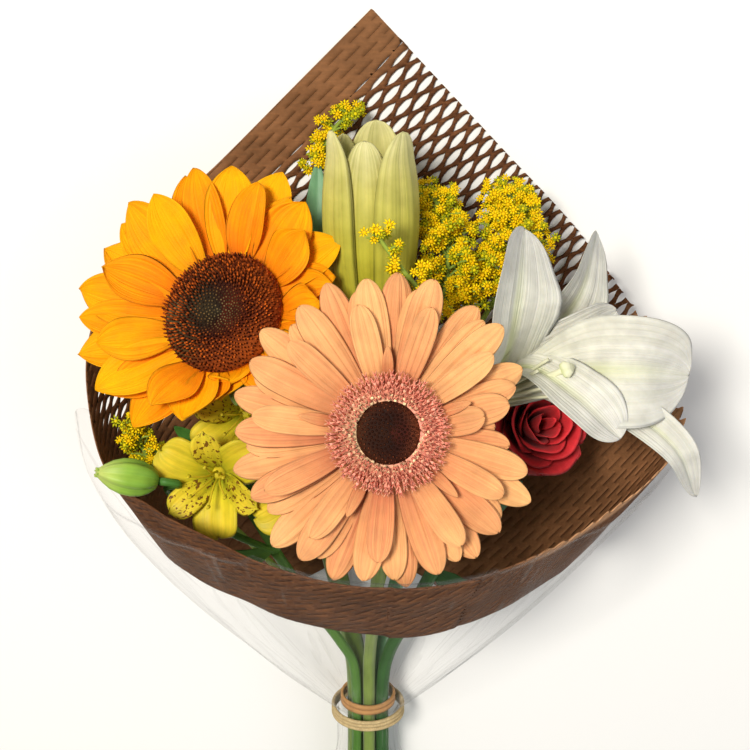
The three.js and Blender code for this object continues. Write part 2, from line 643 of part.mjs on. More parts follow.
const localSpot = (frame, x, y, z) => new THREE.Vector3(x, y, z).applyMatrix4(frame);

// Green cup and stem of the sunflower
const BRACTS = 7;
const sunStem = placed(
  [turn([[0, -20], [6, -20], [15, -16], [21, -8 - SEAT_GAP], [0, -8 - SEAT_GAP], [0, -20]], 14)],
  sunFrame,
);
for (let k = 0; k < BRACTS; k += 1) {
  const bract = petal({
    theta: (2 * Math.PI * (k + 0.5 + 0.3 * draw(k, 52))) / BRACTS, r0: 15, z0: -13.5, stops: [0, 0.5, 1],
    length: 17 + 4 * draw(k, 53), width: 11, el0: 8, el1: -14, base: 0.7, peak: 0.3, blunt: 1.4, cup: 0.2,
  });
  sunStem.push(bract.applyMatrix4(sunFrame));
}
sunStem.push(
  bar(
    stemPath(
      "sunflower",
      [localSpot(sunFrame, 0, 0, -18), localSpot(sunFrame, 0, -2, -32), [-30, 150, 36], [-17, 85, 22]],
      0.5,
    ),
    5, 4.5, 7, 9,
  ),
);
addNode("sunflower_stem", fuse(sunStem), 0x5d7a2f, 0.7);

// Green cup and stem of the gerbera
const gerStem = placed(
  [turn([[0, -15], [3.4, -15], [9, -12], [14.5, -6.6 - SEAT_GAP], [0, -6.6 - SEAT_GAP], [0, -15]], 12)],
  gerFrame,
);
gerStem.push(
  bar(
    stemPath(
      "gerbera",
      [localSpot(gerFrame, 0, 0, -13), localSpot(gerFrame, 0, -3, -28), [7, 135, 78], [4, 80, 52]],
      0.5,
    ),
    3, 2.75, 6, 9,
  ),
);
addNode("gerbera_stem", fuse(gerStem), 0x7d9440, 0.7);

// Stem, sepals and leaves of the rose
const roseStem = placed(
  [turn([[0, -25], [3.4, -25], [5, -22], [4.2, -19 - SEAT_GAP], [0, -19 - SEAT_GAP], [0, -25]], 10)],
  roseFrame,
);
for (let k = 0; k < 5; k += 1) {
  const sepal = petal({
    theta: (2 * Math.PI * k) / 5 + 0.3, r0: 2.5, z0: -22.5, stops: [0, 0.5, 1],
    length: 22, width: 6.5, el0: 8, el1: -24, base: 0.8, peak: 0.3, blunt: 1.3, cup: 0.2,
  });
  roseStem.push(sepal.applyMatrix4(roseFrame));
}
roseStem.push(
  bar(
    stemPath(
      "rose",
      [localSpot(roseFrame, 0, 0, -23), localSpot(roseFrame, 0, -2, -36), [38, 112, 56], [20, 62, 38]],
      0.5,
    ),
    3, 3, 6, 11,
  ),
  sweptBlade({
    path: [[29, 88, 47], [42, 78, 48], [54, 78, 46], [63, 84, 42]], face: [0, -0.4, 1], width: 17,
    stops: LEAF_STOPS, base: 0.15, peak: 0.45, blunt: 1.7, cup: 0.2, cols: 2, thick: 1,
  }),
);
addNode("rose_stem", fuse(roseStem), 0x3f6b35, 0.65);

// Forked lily stem with its leaves; one arm carries the open lily, the other the bud
const lilyStem = [
  bar(
    stemPath(
      "lily",
      [
        localSpot(lilyAxis, 0, 0, -1 - SEAT_GAP),
        localSpot(lilyAxis, 0, 0, -14),
        [26, 128, 37],
        [14, 72, 25],
      ],
      0.5,
    ),
    3, 4, 7, 9,
  ),
  bar(
    [
      localSpot(budFrame, 0, 0, -1 - SEAT_GAP),
      localSpot(budFrame, 0, 0, -14),
      vec([10, 142, 42]),
      vec([19, 104, 31]),
    ],
    3, 3, 7, 6,
  ),
];
[
  { path: [[2, 160, 48], [-14, 190, 42], [-20, 225, 34], [-20, 262, 24]], face: [0.1, 0, 1], width: 17 },
  { path: [[24, 120, 36], [42, 134, 33], [58, 146, 30], [72, 154, 29]], face: [0, 0, 1], width: 16 },
  { path: [[16, 84, 28], [34, 92, 24], [52, 102, 20], [70, 116, 17]], face: [0, 0, 1], width: 15 },
].forEach((leaf) => {
  lilyStem.push(
    sweptBlade({
      ...leaf, stops: LONG_LEAF_STOPS, base: 0.3, peak: 0.4, blunt: 1.4, cup: 0.25, cols: 2, thick: 1,
    }),
  );
});
addNode("lily_stem", fuse(lilyStem), 0x6f9a55, 0.6);

// Alstroemeria stem: one stalk that parts into four
const alstFork = vec([-38, 106, 66]);
const alstStem = [
  bar(stemPath("alstroemeria", [alstFork, [-24, 70, 48], [-13, 44, 34]], 0.5), 2.2, 2.5, 6, 10),
];
ALSTROEMERIA.forEach((flower) => {
  alstStem.push(bar([alstFork, flower.back, flower.root], 1.5, 1.5, 4, 4));
});
alstStem.push(
  bar(
    [
      alstFork,
      vec([-60, 118, 68]),
      vec([-79, 141, 80]),
      localSpot(greenFrame, 0, 0, -8),
      localSpot(greenFrame, 0, 0, -SEAT_GAP),
    ],
    1.5, 1.6, 4, 5,
  ),
);
[
  { path: [[-39, 108, 67], [-54, 103, 68], [-70, 109, 71], [-80, 121, 72]], face: [-0.2, 0, 1], width: 13 },
  { path: [[-38, 106, 66], [-46, 130, 66], [-60, 150, 68], [-76, 166, 74]], face: [0, 0, 1], width: 14 },
].forEach((leaf) => {
  alstStem.push(
    sweptBlade({
      ...leaf, stops: LEAF_STOPS, base: 0.2, peak: 0.5, blunt: 1.5, cup: 0.2, cols: 2, thick: 1,
    }),
  );
});
addNode("alstroemeria_stem", fuse(alstStem), 0x6c8f35, 0.65);

// Solidago stems
const rightFork = vec([24, 150, 36]);
const solRight = [
  bar(stemPath("solidago_right", [rightFork, [12, 90, 18], [4, 50, 10]], 0.5), 1.9, 2, 5, 10),
];
const lead = (spray, back) => {
  const first = vec(SPRAYS[spray].path[0]);
  const next = vec(SPRAYS[spray].path[1]).sub(first).normalize();
  return [first.clone().addScaledVector(next, -back), first.clone().addScaledVector(next, -SEAT_GAP)];
};
solRight.push(bar([rightFork, ...lead(0, 14)], 1.6, 1.2, 5, 5));
solRight.push(bar([rightFork, ...lead(1, 14)], 1.6, 1.2, 5, 5));
solRight.push(bar([rightFork, vec([30, 180, 62]), ...lead(4, 8)], 1.3, 1.1, 4, 5));
solRight.push(bar([rightFork, vec([6, 180, 24]), vec([-10, 210, 17]), ...lead(2, 8)], 1.3, 1.1, 4, 7));
addNode("solidago_stem_right", fuse(solRight), 0x86a03a, 0.7);

const leftRoute = [...lead(3, 0.4).slice(1), [-66, 116, 46], [-34, 66, 22], [-12, 34, 10]];
const solLeft = [bar(stemPath("solidago_left", leftRoute, 0.5), 1.3, 1.75, 5, 12)];
addNode("solidago_stem_left", fuse(solLeft), 0x86a03a, 0.7);

// Wrap surface: generators run from the neck ring to a rim with one peak at the back
const NECK_RADIUS = 12.9;
const BULGE = { left: 12, right: 7, under: 16, over: 2 };
const RIM = [
  [2, 320, 0], [31, 290, 0], [60, 260, 0], [89, 230, 1], [108, 206, 12], [121, 187, 30], [128, 170, 50],
  [124, 158, 74], [111, 154, 95], [90, 148, 116], [64, 140, 131], [38, 134, 140], [12, 132, 143],
  [-14, 133, 140], [-36, 136, 133], [-58, 141, 121], [-80, 145, 106], [-101, 152, 88], [-112, 175, 64],
  [-115, 192, 40], [-110, 208, 18], [-92, 231, 3], [-64, 256, 0], [-31, 288, 0], [2, 320, 0],
].map(vec);
const rimCurve = new THREE.CatmullRomCurve3(RIM, false, "centripetal");
const around = (p) => {
  const e = rad(WRAP_RISE);
  const rise = (p.z - (NECK.z + p.y * Math.tan(e))) * Math.cos(e);
  return Math.atan2(rise, p.x);
};
function wrapPoint(u, t, floor) {
  const rim = rimCurve.getPointAt(((u % 1) + 1) % 1);
  const psi = around(rim);
  const c = Math.cos(psi);
  const s = Math.sin(psi);
  const r0 = NECK_RADIUS;
  const pleat = 1 + 0.025 * Math.cos(9 * psi) * Math.pow(1 - clamp(t, 0, 1), 3);
  const start = new THREE.Vector3(r0 * pleat * c, 0, NECK.z + r0 * pleat * s);
  const p = start.lerp(rim, t);
  const hump = 4 * t * (1 - t);
  p.x += hump * (c < 0 ? -BULGE.left * Math.pow(-c, 1.4) : BULGE.right * Math.pow(c, 1.4));
  p.z += hump * s * (s < 0 ? BULGE.under : BULGE.over);
  p.z = Math.max(p.z, floor(p));
  return p;
}

// Closed thin shell over a ring-shaped grid of outer points
function shell(outer, thick, flatTop) {
  const nv = outer.length;
  const nu = outer[0].length;
  const inner = outer.map((row, i) =>
    row.map((p, j) => {
      const du = row[(j + 1) % nu].clone().sub(row[(j + nu - 1) % nu]);
      const dv = outer[Math.min(i + 1, nv - 1)][j].clone().sub(outer[Math.max(i - 1, 0)][j]);
      const normal = new THREE.Vector3().crossVectors(du, dv).normalize();
      if (flatTop && p.z < 2.5 && normal.z > 0.7) {
        normal.set(0, 0, 1);
      }
      return p.clone().addScaledVector(normal, thick);
    }),
  );
  const points = [...outer.flat(), ...inner.flat()];
  const o = (i, j) => i * nu + (j % nu);
  const n = (i, j) => nv * nu + i * nu + (j % nu);
  const faces = [];
  for (let j = 0; j < nu; j += 1) {
    for (let i = 0; i < nv - 1; i += 1) {
      faces.push([o(i, j), o(i + 1, j + 1), o(i, j + 1)], [o(i, j), o(i + 1, j), o(i + 1, j + 1)]);
      faces.push([n(i, j), n(i, j + 1), n(i + 1, j + 1)], [n(i, j), n(i + 1, j + 1), n(i + 1, j)]);
    }
    faces.push([o(0, j), o(0, j + 1), n(0, j + 1)], [o(0, j), n(0, j + 1), n(0, j)]);
    const v = nv - 1;
    faces.push([o(v, j), n(v, j + 1), o(v, j + 1)], [o(v, j), n(v, j), n(v, j + 1)]);
  }
  return meshOf(points, faces);
}

// Kraft honeycomb paper: deep at the back, a band at the front, open cells in the back panel
const paperFloor = (p) => 1.1 * (1 - smooth(148, 172, p.y));
const PAPER_COLS = 44;
const PAPER_ROWS = 4;
const lowEdge = (psi) => mix(0.24, 0.71, smooth(-0.55, 0.1, Math.sin(psi)));
const paperGrid = [];
for (let i = 0; i <= PAPER_ROWS; i += 1) {
  const row = [];
  for (let j = 0; j < PAPER_COLS; j += 1) {
    const u = j / PAPER_COLS;
    const low = lowEdge(around(rimCurve.getPointAt(u)));
    row.push(wrapPoint(u, mix(low, 1, i / PAPER_ROWS), paperFloor));
  }
  paperGrid.push(row);
}
let paper = toSolid(shell(paperGrid, PAPER_THICK, true));
const CELL = { pitch: 26, row: 11, long: 11.4, wide: 4.4, margin: 24 };
const cells = [];
const alongSlit = new THREE.Vector2(Math.SQRT1_2, Math.SQRT1_2);
const acrossSlit = new THREE.Vector2(Math.SQRT1_2, -Math.SQRT1_2);
for (let i = 0; i < 18; i += 1) {
  for (let j = 0; j < 8; j += 1) {
    const q = CELL.margin + i * CELL.row;
    const p = -(j + 0.5 * (i % 2)) * CELL.pitch;
    const centre = new THREE.Vector2(2, 320).addScaledVector(acrossSlit, q).addScaledVector(alongSlit, p);
    if (centre.y < 212 || centre.x < -52 || centre.x > 82) {
      continue;
    }
    const corner = (f, g) =>
      centre.clone().addScaledVector(alongSlit, f * CELL.long).addScaledVector(acrossSlit, g * CELL.wide);
    const shape = new THREE.Shape([corner(1, 0), corner(0, 1), corner(-1, 0), corner(0, -1)]);
    const punch = new THREE.ExtrudeGeometry(shape, { depth: 5, bevelEnabled: false });
    cells.push(toSolid(punch.translate(0, 0, -1)));
  }
}
paper = fuse([paper.subtract(wasm.Manifold.union(cells))]);
addNode("kraft_wrap", paper, 0x6e4b33, 0.85);

// Clear film sleeve: outside the paper, gathered at the neck, flared over the stems
const FILM_COLS = 44;
const FILM_ROWS = 3;
const FILM_SLACK = 5;
const filmTop = (psi) => {
  const s = Math.sin(psi);
  return mix(0.42, 1.0, smooth(-0.75, -0.1, s)) + 0.03 * smooth(0.2, 0.8, s);
};
const filmGrid = [];
const TAIL = [[SLEEVE_TAIL_Y, 29, 0.8], [-64, 22, 0.85], [-24, 15, 0.95]];
TAIL.forEach(([y, r, flat]) => {
  const row = [];
  for (let j = 0; j < FILM_COLS; j += 1) {
    const psi = around(rimCurve.getPointAt(j / FILM_COLS));
    const fold = r * (1 + 0.1 * smooth(-10, -60, y) * Math.cos(7 * psi));
    const p = new THREE.Vector3(fold * Math.cos(psi), y, NECK.z + fold * Math.sin(psi) * flat);
    p.z = Math.max(p.z, 0);
    row.push(p);
  }
  filmGrid.push(row);
});
for (let i = 0; i <= FILM_ROWS; i += 1) {
  const row = [];
  for (let j = 0; j < FILM_COLS; j += 1) {
    const u = j / FILM_COLS;
    const psi = around(rimCurve.getPointAt(u));
    const t = filmTop(psi) * Math.pow(i / FILM_ROWS, 1.1);
    const here = wrapPoint(u, t, () => 1.1);
    const du = wrapPoint(u + 0.004, t, () => 1.1).sub(wrapPoint(u - 0.004, t, () => 1.1));
    const dt = wrapPoint(u, t + 0.01, () => 1.1).sub(wrapPoint(u, Math.max(0, t - 0.01), () => 1.1));
    const outward = new THREE.Vector3().crossVectors(dt, du).normalize();
    const slack = FILM_SLACK * smooth(0.2, 0.9, -Math.cos(psi)) * smooth(0.3, 1, t);
    here.addScaledVector(outward, FILM_THICK + FILM_GAP + Math.sin(Math.PI * clamp(t, 0, 1)) + slack);
    here.z = Math.max(here.z, 0);
    row.push(here);
  }
  filmGrid.push(row);
}
const film = fuse([shell(filmGrid, FILM_THICK, true)]);
addNode("film_sleeve", film, 0xe8eef0, 0.12, { transparent: true, opacity: 0.25 });

// Elastic band round the stems and a cord tied outside the sleeve
function ringAt(y, inner, section, sides) {
  const profile = section.map(([along, out]) => [inner + out, along]);
  return turn(profile, sides).rotateX(Math.PI / 2).translate(NECK.x, y, NECK.z);
}
const BAND = [[-2, 0], [2, 0], [2.4, 1.1], [0, 1.7], [-2.4, 1.1], [-2, 0]];
const CORD = [
  [-3, 0.4], [-1.6, 0], [0, 0.5], [1.6, 0], [3, 0.4], [2.4, 1.5],
  [1, 1.5], [0, 1.1], [-1, 1.5], [-2.4, 1.5], [-3, 0.4],
];
addNode("stem_band", fuse([ringAt(3, 11.7, BAND, 20)]), 0xb98a4a, 0.7);
addNode("neck_tie", fuse([ringAt(-3, 15.75, CORD, 16)]), 0xcdb88a, 0.8);

export default nodes;
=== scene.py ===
import math

import bmesh
import bpy
import numpy as np
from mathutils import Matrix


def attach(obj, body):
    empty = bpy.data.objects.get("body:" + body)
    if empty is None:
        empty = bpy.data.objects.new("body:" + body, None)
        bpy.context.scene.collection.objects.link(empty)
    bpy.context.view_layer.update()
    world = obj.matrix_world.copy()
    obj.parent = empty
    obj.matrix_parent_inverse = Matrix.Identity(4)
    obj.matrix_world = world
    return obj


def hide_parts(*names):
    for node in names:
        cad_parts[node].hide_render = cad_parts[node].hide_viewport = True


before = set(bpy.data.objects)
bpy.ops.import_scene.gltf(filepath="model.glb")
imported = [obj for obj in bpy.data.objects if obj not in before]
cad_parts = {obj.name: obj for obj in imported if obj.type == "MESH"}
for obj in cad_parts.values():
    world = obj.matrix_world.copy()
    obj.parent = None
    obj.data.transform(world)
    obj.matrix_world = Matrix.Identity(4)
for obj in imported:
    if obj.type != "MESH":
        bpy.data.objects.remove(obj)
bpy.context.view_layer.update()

# Camera
# The bunch is seen from its head side and from above, so the blooms face the lens.
# The lens is fairly long, which keeps the near blooms from swelling.

VIEW_AT, VIEW_TILT = (-0.002325, 0.275575, 0.536932), -20
VIEW_LENS, VIEW_SENSOR, VIEW_CLIP = 60.77, 36.0, 0.01
view = bpy.data.objects.new("view", bpy.data.cameras.new("view"))
bpy.context.scene.collection.objects.link(view)
view.location = VIEW_AT
view.rotation_euler = (math.radians(VIEW_TILT), 0, 0)
view.data.lens, view.data.sensor_width, view.data.clip_start = VIEW_LENS, VIEW_SENSOR, VIEW_CLIP
bpy.context.scene.camera = view
bpy.context.scene.view_settings.view_transform = "Standard"

# Sunflower stem and cup
# A thick hairy stalk that ends in a flat green cup with pointed bracts behind the rays.
# Stalk, cup and bracts are one grown piece; the stalk is cut off at the lower end.

BUNCH_CENTRE = np.array([5.7, 80.4, 0.0])
NECK_Z = 17.3
CUT_END_Y, CUT_SPREAD = -160.0, 14
SEAT_GAP = 0.35
FULL_TURN = 2 * math.pi
SUNFLOWER_AT, SUNFLOWER_FACING, SUNFLOWER_DISC = (-55.4, 213, 73), (-0.28, 0.58, 0.765), 24.0


def draw(k, seed):
    """Number from 0 to 1 that looks random and is the same in every run."""
    v = math.sin(k * 12.9898 + seed * 78.233) * 43758.5453
    return v - math.floor(v)


def mix(a, b, t):
    return a + (b - a) * t


def smooth(lo, hi, x):
    t = np.clip((x - lo) / (hi - lo), 0, 1)
    return t * t * (3 - 2 * t)


def unit(v):
    v = np.asarray(v, float)
    return v / np.maximum(np.linalg.norm(v, axis=-1, keepdims=True), 1e-9)


def outward(a):
    """Flat direction away from the axis at an angle."""
    return np.array([math.cos(a), math.sin(a), 0.0])


def ring_angles(sides):
    return FULL_TURN * np.arange(sides) / sides


def bloom_frame(at, facing):
    z = unit(facing)
    x = unit(np.cross((0, 1, 0), z))
    frame4 = np.eye(4)
    frame4[:3, 0], frame4[:3, 1], frame4[:3, 2], frame4[:3, 3] = x, np.cross(z, x), z, at
    return frame4


def spot(frame4, x, y, z):
    return frame4[:3, :3] @ np.array([x, y, z], float) + frame4[:3, 3]


class Path:
    """Smooth line through points, read by the share of its length."""

    def __init__(self, points, dense=60):
        p = [np.asarray(q, float) for q in points]
        p = [2 * p[0] - p[1], *p, 2 * p[-1] - p[-2]]
        line = []
        w = np.linspace(0, 1, dense, endpoint=False)[:, None]
        for i in range(1, len(p) - 2):
            a, b, c, d = p[i - 1 : i + 3]
            d0, d1, d2 = (max(np.sum((n - m) ** 2) ** 0.25, 1e-4) for m, n in ((a, b), (b, c), (c, d)))
            t1 = ((b - a) / d0 - (c - a) / (d0 + d1) + (c - b) / d1) * d1
            t2 = ((c - b) / d1 - (d - b) / (d1 + d2) + (d - c) / d2) * d1
            line.append((2 * w**3 - 3 * w**2 + 1) * b + (w**3 - 2 * w**2 + w) * t1
                        + (3 * w**2 - 2 * w**3) * c + (w**3 - w**2) * t2)
        self.line = np.concatenate([*line, p[-2][None]])
        steps = np.linalg.norm(np.diff(self.line, axis=0), axis=1)
        self.far = np.concatenate([[0], np.cumsum(steps)])

    def at(self, s):
        d = np.asarray(s, float) * self.far[-1]
        return np.stack([np.interp(d, self.far, self.line[:, k]) for k in range(3)], -1)

    def along(self, s):
        s = np.asarray(s, float)
        return unit(self.at(np.clip(s + 0.004, 0, 1)) - self.at(np.clip(s - 0.004, 0, 1)))


def grid_quads(index):
    return np.stack([index[:-1, :-1], index[1:, :-1], index[1:, 1:], index[:-1, 1:]], -1).reshape(-1, 4)


class Body:
    """One piece's mesh while it is made, in millimetres. A mark is (share along, across, shade)."""

    def __init__(self):
        self.points, self.marks, self.faces, self.count = [], [], [], 0

    def add(self, points, faces, marks, place=None):
        points = np.asarray(points, float)
        if place is not None:
            points = points @ place[:3, :3].T + place[:3, 3]
        self.points.append(points)
        self.marks.append(np.broadcast_to(np.asarray(marks, float), points.shape))
        for group in faces if isinstance(faces, list) else [faces]:
            self.faces.extend((np.asarray(group) + self.count).tolist())
        self.count += len(points)

    def build(self, name, finish, slot, nodes=(), weld=0.0, wall=0.0):
        mesh = bpy.data.meshes.new(name)
        points = (np.concatenate(self.points) - BUNCH_CENTRE) / 1000
        mesh.from_pydata(points.tolist(), [], self.faces)
        layer = mesh.attributes.new("mark", "FLOAT_VECTOR", "POINT")
        layer.data.foreach_set("vector", np.concatenate(self.marks).astype(np.float32).ravel())
        bm = bmesh.new()
        bm.from_mesh(mesh)
        if weld:
            bmesh.ops.remove_doubles(bm, verts=bm.verts, dist=weld / 1000)
            bmesh.ops.dissolve_degenerate(bm, edges=bm.edges, dist=1e-6)
        bmesh.ops.recalc_face_normals(bm, faces=bm.faces)
        bm.to_mesh(mesh)
        bm.free()
        piece = bpy.data.objects.new(name, mesh)
        bpy.context.scene.collection.objects.link(piece)
        if wall:
            thicken = piece.modifiers.new("wall", "SOLIDIFY")
            thicken.thickness, thicken.offset = wall / 1000, 0.0
            bpy.context.view_layer.update()
            shown = piece.evaluated_get(bpy.context.evaluated_depsgraph_get())
            mesh = bpy.data.meshes.new_from_object(shown)
            piece.modifiers.clear()
            piece.data = mesh
        mesh.shade_smooth()
        mesh.materials.clear()
        mesh.materials.append(finish)
        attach(piece, "root")
        if nodes:
            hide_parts(*nodes)
        return piece


def tube(rings, ends, shade, across=None):
    """Rings of points joined into a tube, with a fan of faces to each end point."""
    rings = np.asarray(rings)
    count, sides = rings.shape[:2]
    index = np.arange(count * sides).reshape(count, sides)
    index = np.concatenate([index, index[:, :1]], 1)
    low, high = count * sides, count * sides + 1
    caps = np.array([[low, index[0, j + 1], index[0, j]] for j in range(sides)]
                    + [[high, index[-1, j], index[-1, j + 1]] for j in range(sides)])
    share = np.append(np.repeat(np.linspace(0, 1, count), sides), [0, 1])
    if across is None:
        across = np.append(np.tile(np.abs(ring_angles(sides) / np.pi - 1), count), [0, 0])
    marks = np.stack(np.broadcast_arrays(share, across, shade), -1)
    return np.concatenate([rings.reshape(-1, 3), ends]), [grid_quads(index), caps], marks


def bar(path, r0, r1, sides, steps, ribs=0.0, shade=0.5):
    """Round bar along a path with closed ends."""
    path = path if isinstance(path, Path) else Path(path)
    s = np.linspace(0, 1, steps + 1)
    centre, ahead = path.at(s), path.along(s)
    side = np.cross((0, 0, 1), ahead[0])
    side = np.array([1.0, 0, 0]) if np.linalg.norm(side) < 0.1 else side
    a = ring_angles(sides)
    ring = 1 + ribs * np.cos(a * max(2, sides // 3))
    rings = []
    for i in range(steps + 1):
        side = unit(side - np.dot(side, ahead[i]) * ahead[i])
        up = np.cross(ahead[i], side)
        r = mix(r0, r1, s[i]) * ring
        rings.append(centre[i] + side * (r * np.cos(a))[:, None] + up * (r * np.sin(a))[:, None])
    return tube(rings, centre[[0, -1]], shade)


def turned(profile, sides, shade=0.5, ribs=0.0, rib_count=6):
    """Profile from the axis round to the axis again, turned about local Z."""
    a = ring_angles(sides)
    wave = 1 + ribs * np.cos(rib_count * a)
    rings = [np.stack([r * wave * np.cos(a), r * wave * np.sin(a), np.full(sides, z)], -1)
             for r, z in profile[1:-1]]
    return tube(rings, [[0, 0, profile[0][1]], [0, 0, profile[-1][1]]], shade)


def outline(s, base, peak, blunt, tip=0.6, claw=1.0):
    """Half width of a blade along its length, as a share: it widens to its peak and then rounds off."""
    x = np.clip((s - peak) / (1 - peak), 0, 1)
    rise = base + (1 - base) * np.sin(np.pi / 2 * np.minimum(s / peak, 1)) ** claw
    return np.where(s <= peak, rise, np.maximum(0, 1 - x**blunt) ** tip)


def two_faced(top, under, share, across, shade):
    """Closed thin skin: its two faces meet at the rim."""
    rows, cols = top.shape[:2]
    index = np.arange(rows * cols).reshape(rows, cols)
    below = index.copy()
    below[1:-1, 1:-1] = rows * cols + np.arange((rows - 2) * (cols - 2)).reshape(rows - 2, cols - 2)
    marks = np.stack(np.broadcast_arrays(share, across, shade), -1)
    points, marks = (np.concatenate([over.reshape(-1, 3), low[1:-1, 1:-1].reshape(-1, 3)])
                     for over, low in ((top, under), (marks, marks)))
    return points, [grid_quads(index), grid_quads(below)[:, ::-1]], marks


def blade(s, centre, side, up, half, lift, thick, shade):
    """Thin leaf whose two faces run together at the edges, the base and the tip."""
    a = np.linspace(-1, 1, lift.shape[1])
    half = np.maximum(half, 0.12)
    skin = centre[:, None] + side[:, None] * (half[:, None] * a)[..., None] + up[:, None] * lift[..., None]
    body = np.tile(thick / 2 * (1 - a**4), (len(lift), 1))
    body[0] = body[-1] = 0
    wall = up[:, None] * body[..., None]
    return two_faced(skin + wall, skin - wall, s[:, None], a, shade)


def end_fade(s, margin):
    """Relief along a blade, from nothing at its ends to full in its middle."""
    return np.sin(np.pi * np.clip(s, margin, 1 - margin))[:, None] ** 0.5


def petal(theta, r0, z0, length, width, el0, el1, base, peak, blunt, cup=0.0, twist=0.0, bend=0.0, ease=1.0,
          thick=0.8, grooves=0.0, groove_count=3, ruffle=0.0, curl=0.0, notch=0.0, shade=0.5, rows=16, cols=9,
          tip=0.6):
    """Petal on a round head: it leaves the axis at r0 and bends from rise el0 to el1, in degrees."""
    steps = 80
    mid = (np.arange(steps) + 0.5) / steps
    fine = np.radians(mix(el0, el1, mid**ease) + curl * mid**6)
    r = r0 + np.concatenate([[0], np.cumsum(np.cos(fine))]) * length / steps
    z = z0 + np.concatenate([[0], np.cumsum(np.sin(fine))]) * length / steps
    s = 1 - (1 - np.linspace(0, 1, rows)) ** 1.5
    el = np.radians(mix(el0, el1, s**ease) + curl * s**6)
    turn = np.radians(twist) * (0.35 + 0.65 * s)
    level = np.tile([0.0, 1.0, 0.0], (rows, 1))
    normal = np.stack([-np.sin(el), 0 * el, np.cos(el)], -1)
    side = level * np.cos(turn)[:, None] + normal * np.sin(turn)[:, None]
    up = normal * np.cos(turn)[:, None] - level * np.sin(turn)[:, None]
    r, z = (np.interp(s * steps, np.arange(steps + 1), line) for line in (r, z))
    half = width / 2 * outline(s, base, peak, blunt, tip)
    a = np.linspace(-1, 1, cols)
    lift = cup * half[:, None] * a**2
    lift = lift + grooves * np.cos(np.pi * groove_count * a) * end_fade(s, 0.02)
    lift = (lift + ruffle * np.abs(a) ** 2 * np.sin(7 * s + 9 * shade)[:, None] * (s**1.2)[:, None]
            * np.sign(a))
    points, faces, marks = blade(s, np.stack([r, bend * s * s, z], -1), side, up, half, lift, thick, shade)
    far = np.clip((marks[:, 0] - 0.86) / 0.14, 0, 1)
    points[:, 0] -= notch * far * np.exp(-((marks[:, 1] / 0.35) ** 2))
    c, n = math.cos(theta), math.sin(theta)
    return points @ np.array([[c, n, 0], [-n, c, 0], [0, 0, 1]]), faces, marks


# Each stem's place in the neck, to the side and above the neck's middle, and its radius there
STEM_AT_NECK = {
    "sunflower": (-5.0, -1.0, 4.5), "lily": (4.2, -2.6, 4.0), "gerbera": (0.5, 6.0, 2.75),
    "rose": (6.8, 4.8, 3.0), "alstroemeria": (-5.4, 6.6, 2.5), "solidago_right": (0.6, -8.8, 2.0),
    "solidago_left": (-5.0, -7.6, 1.75),
}
STEM_SPREAD = 0.5


def stem_path(name, *upper):
    """Route of a stem: its own upper points, then through the neck to its cut end."""
    x, z, r = STEM_AT_NECK[name]
    cut = CUT_END_Y + CUT_SPREAD * draw(r * 10, 51)
    route = ((1.25, 26), (1, 8), (1, -10), (1 + 0.35 * STEM_SPREAD, cut * 0.5), (1 + 0.8 * STEM_SPREAD, cut))
    lower = [[x * f, y, NECK_Z + z * f] for f, y in route]
    lower[-1][2] = max(lower[-1][2], r + 1.2)
    return [*upper, *lower]


def paint(r, g, b):
    """Linear colour of an 8-bit display colour."""
    shares = (r / 255, g / 255, b / 255)
    return tuple(c / 12.92 if c <= 0.04045 else ((c + 0.055) / 1.055) ** 2.4 for c in shares) + (1.0,)


def fit(tree, kind, sockets=None, **settings):
    """New node with its settings; a socket is given a value or another node's output."""
    node = tree.nodes.new(kind)
    for key, value in settings.items():
        setattr(node, key, value)
    for key, value in (sockets or {}).items():
        if isinstance(value, bpy.types.NodeSocket):
            tree.links.new(value, node.inputs[key])
        else:
            node.inputs[key].default_value = value
    return node


def sums(tree, operation, *values, **settings):
    return fit(tree, "ShaderNodeMath", dict(enumerate(values)), operation=operation, **settings).outputs[0]


def span(tree, value, low, high, start=0.0, end=1.0):
    """A value that runs from start to end, made to run from low to high."""
    return fit(tree, "ShaderNodeMapRange", dict(enumerate((value, start, end, low, high)))).outputs[0]


def tint(tree, share, first, second, mode="MIX"):
    """The first colour with a share of the second, which is an output or a display colour."""
    second = paint(*second) if isinstance(second, tuple) else second
    sockets = {0: share, 6: first, 7: second}
    return fit(tree, "ShaderNodeMix", sockets, data_type="RGBA", blend_type=mode).outputs[2]


def ramp(tree, value, stops):
    """Run of display colours; a stop is (place, red, green, blue)."""
    node = fit(tree, "ShaderNodeValToRGB", {0: value})
    while len(node.color_ramp.elements) < len(stops):
        node.color_ramp.elements.new(0.5)
    for element, (place, *colour) in zip(node.color_ramp.elements, stops):
        element.position, element.color = place, paint(*colour)
    return node.outputs[0]


def group(name, inputs, outputs):
    """Node group; an input without a value is a vector, and every other socket is a number."""
    tree = bpy.data.node_groups.new(name, "ShaderNodeTree")
    for label, value in inputs.items():
        kind = "NodeSocketVector" if value is None else "NodeSocketFloat"
        made = tree.interface.new_socket(name=label, in_out="INPUT", socket_type=kind)
        if value is not None:
            made.default_value = value
    for label in outputs:
        tree.interface.new_socket(name=label, in_out="OUTPUT", socket_type="NodeSocketFloat")
    return tree, tree.nodes.new("NodeGroupInput").outputs, tree.nodes.new("NodeGroupOutput").inputs


def mottle_group():
    """Soft uneven patches of a given size on any surface."""
    tree, into, out = group("mottle", {"Size": 0.01}, ["Mottle"])
    where = fit(tree, "ShaderNodeTexCoord").outputs["Object"]
    scale = sums(tree, "DIVIDE", 1.0, into["Size"])
    noise = fit(tree, "ShaderNodeTexNoise", {"Vector": where, "Scale": scale, "Detail": 3.0})
    tree.links.new(span(tree, noise.outputs[0], 0.0, 1.0, 0.3, 0.7), out["Mottle"])
    return tree


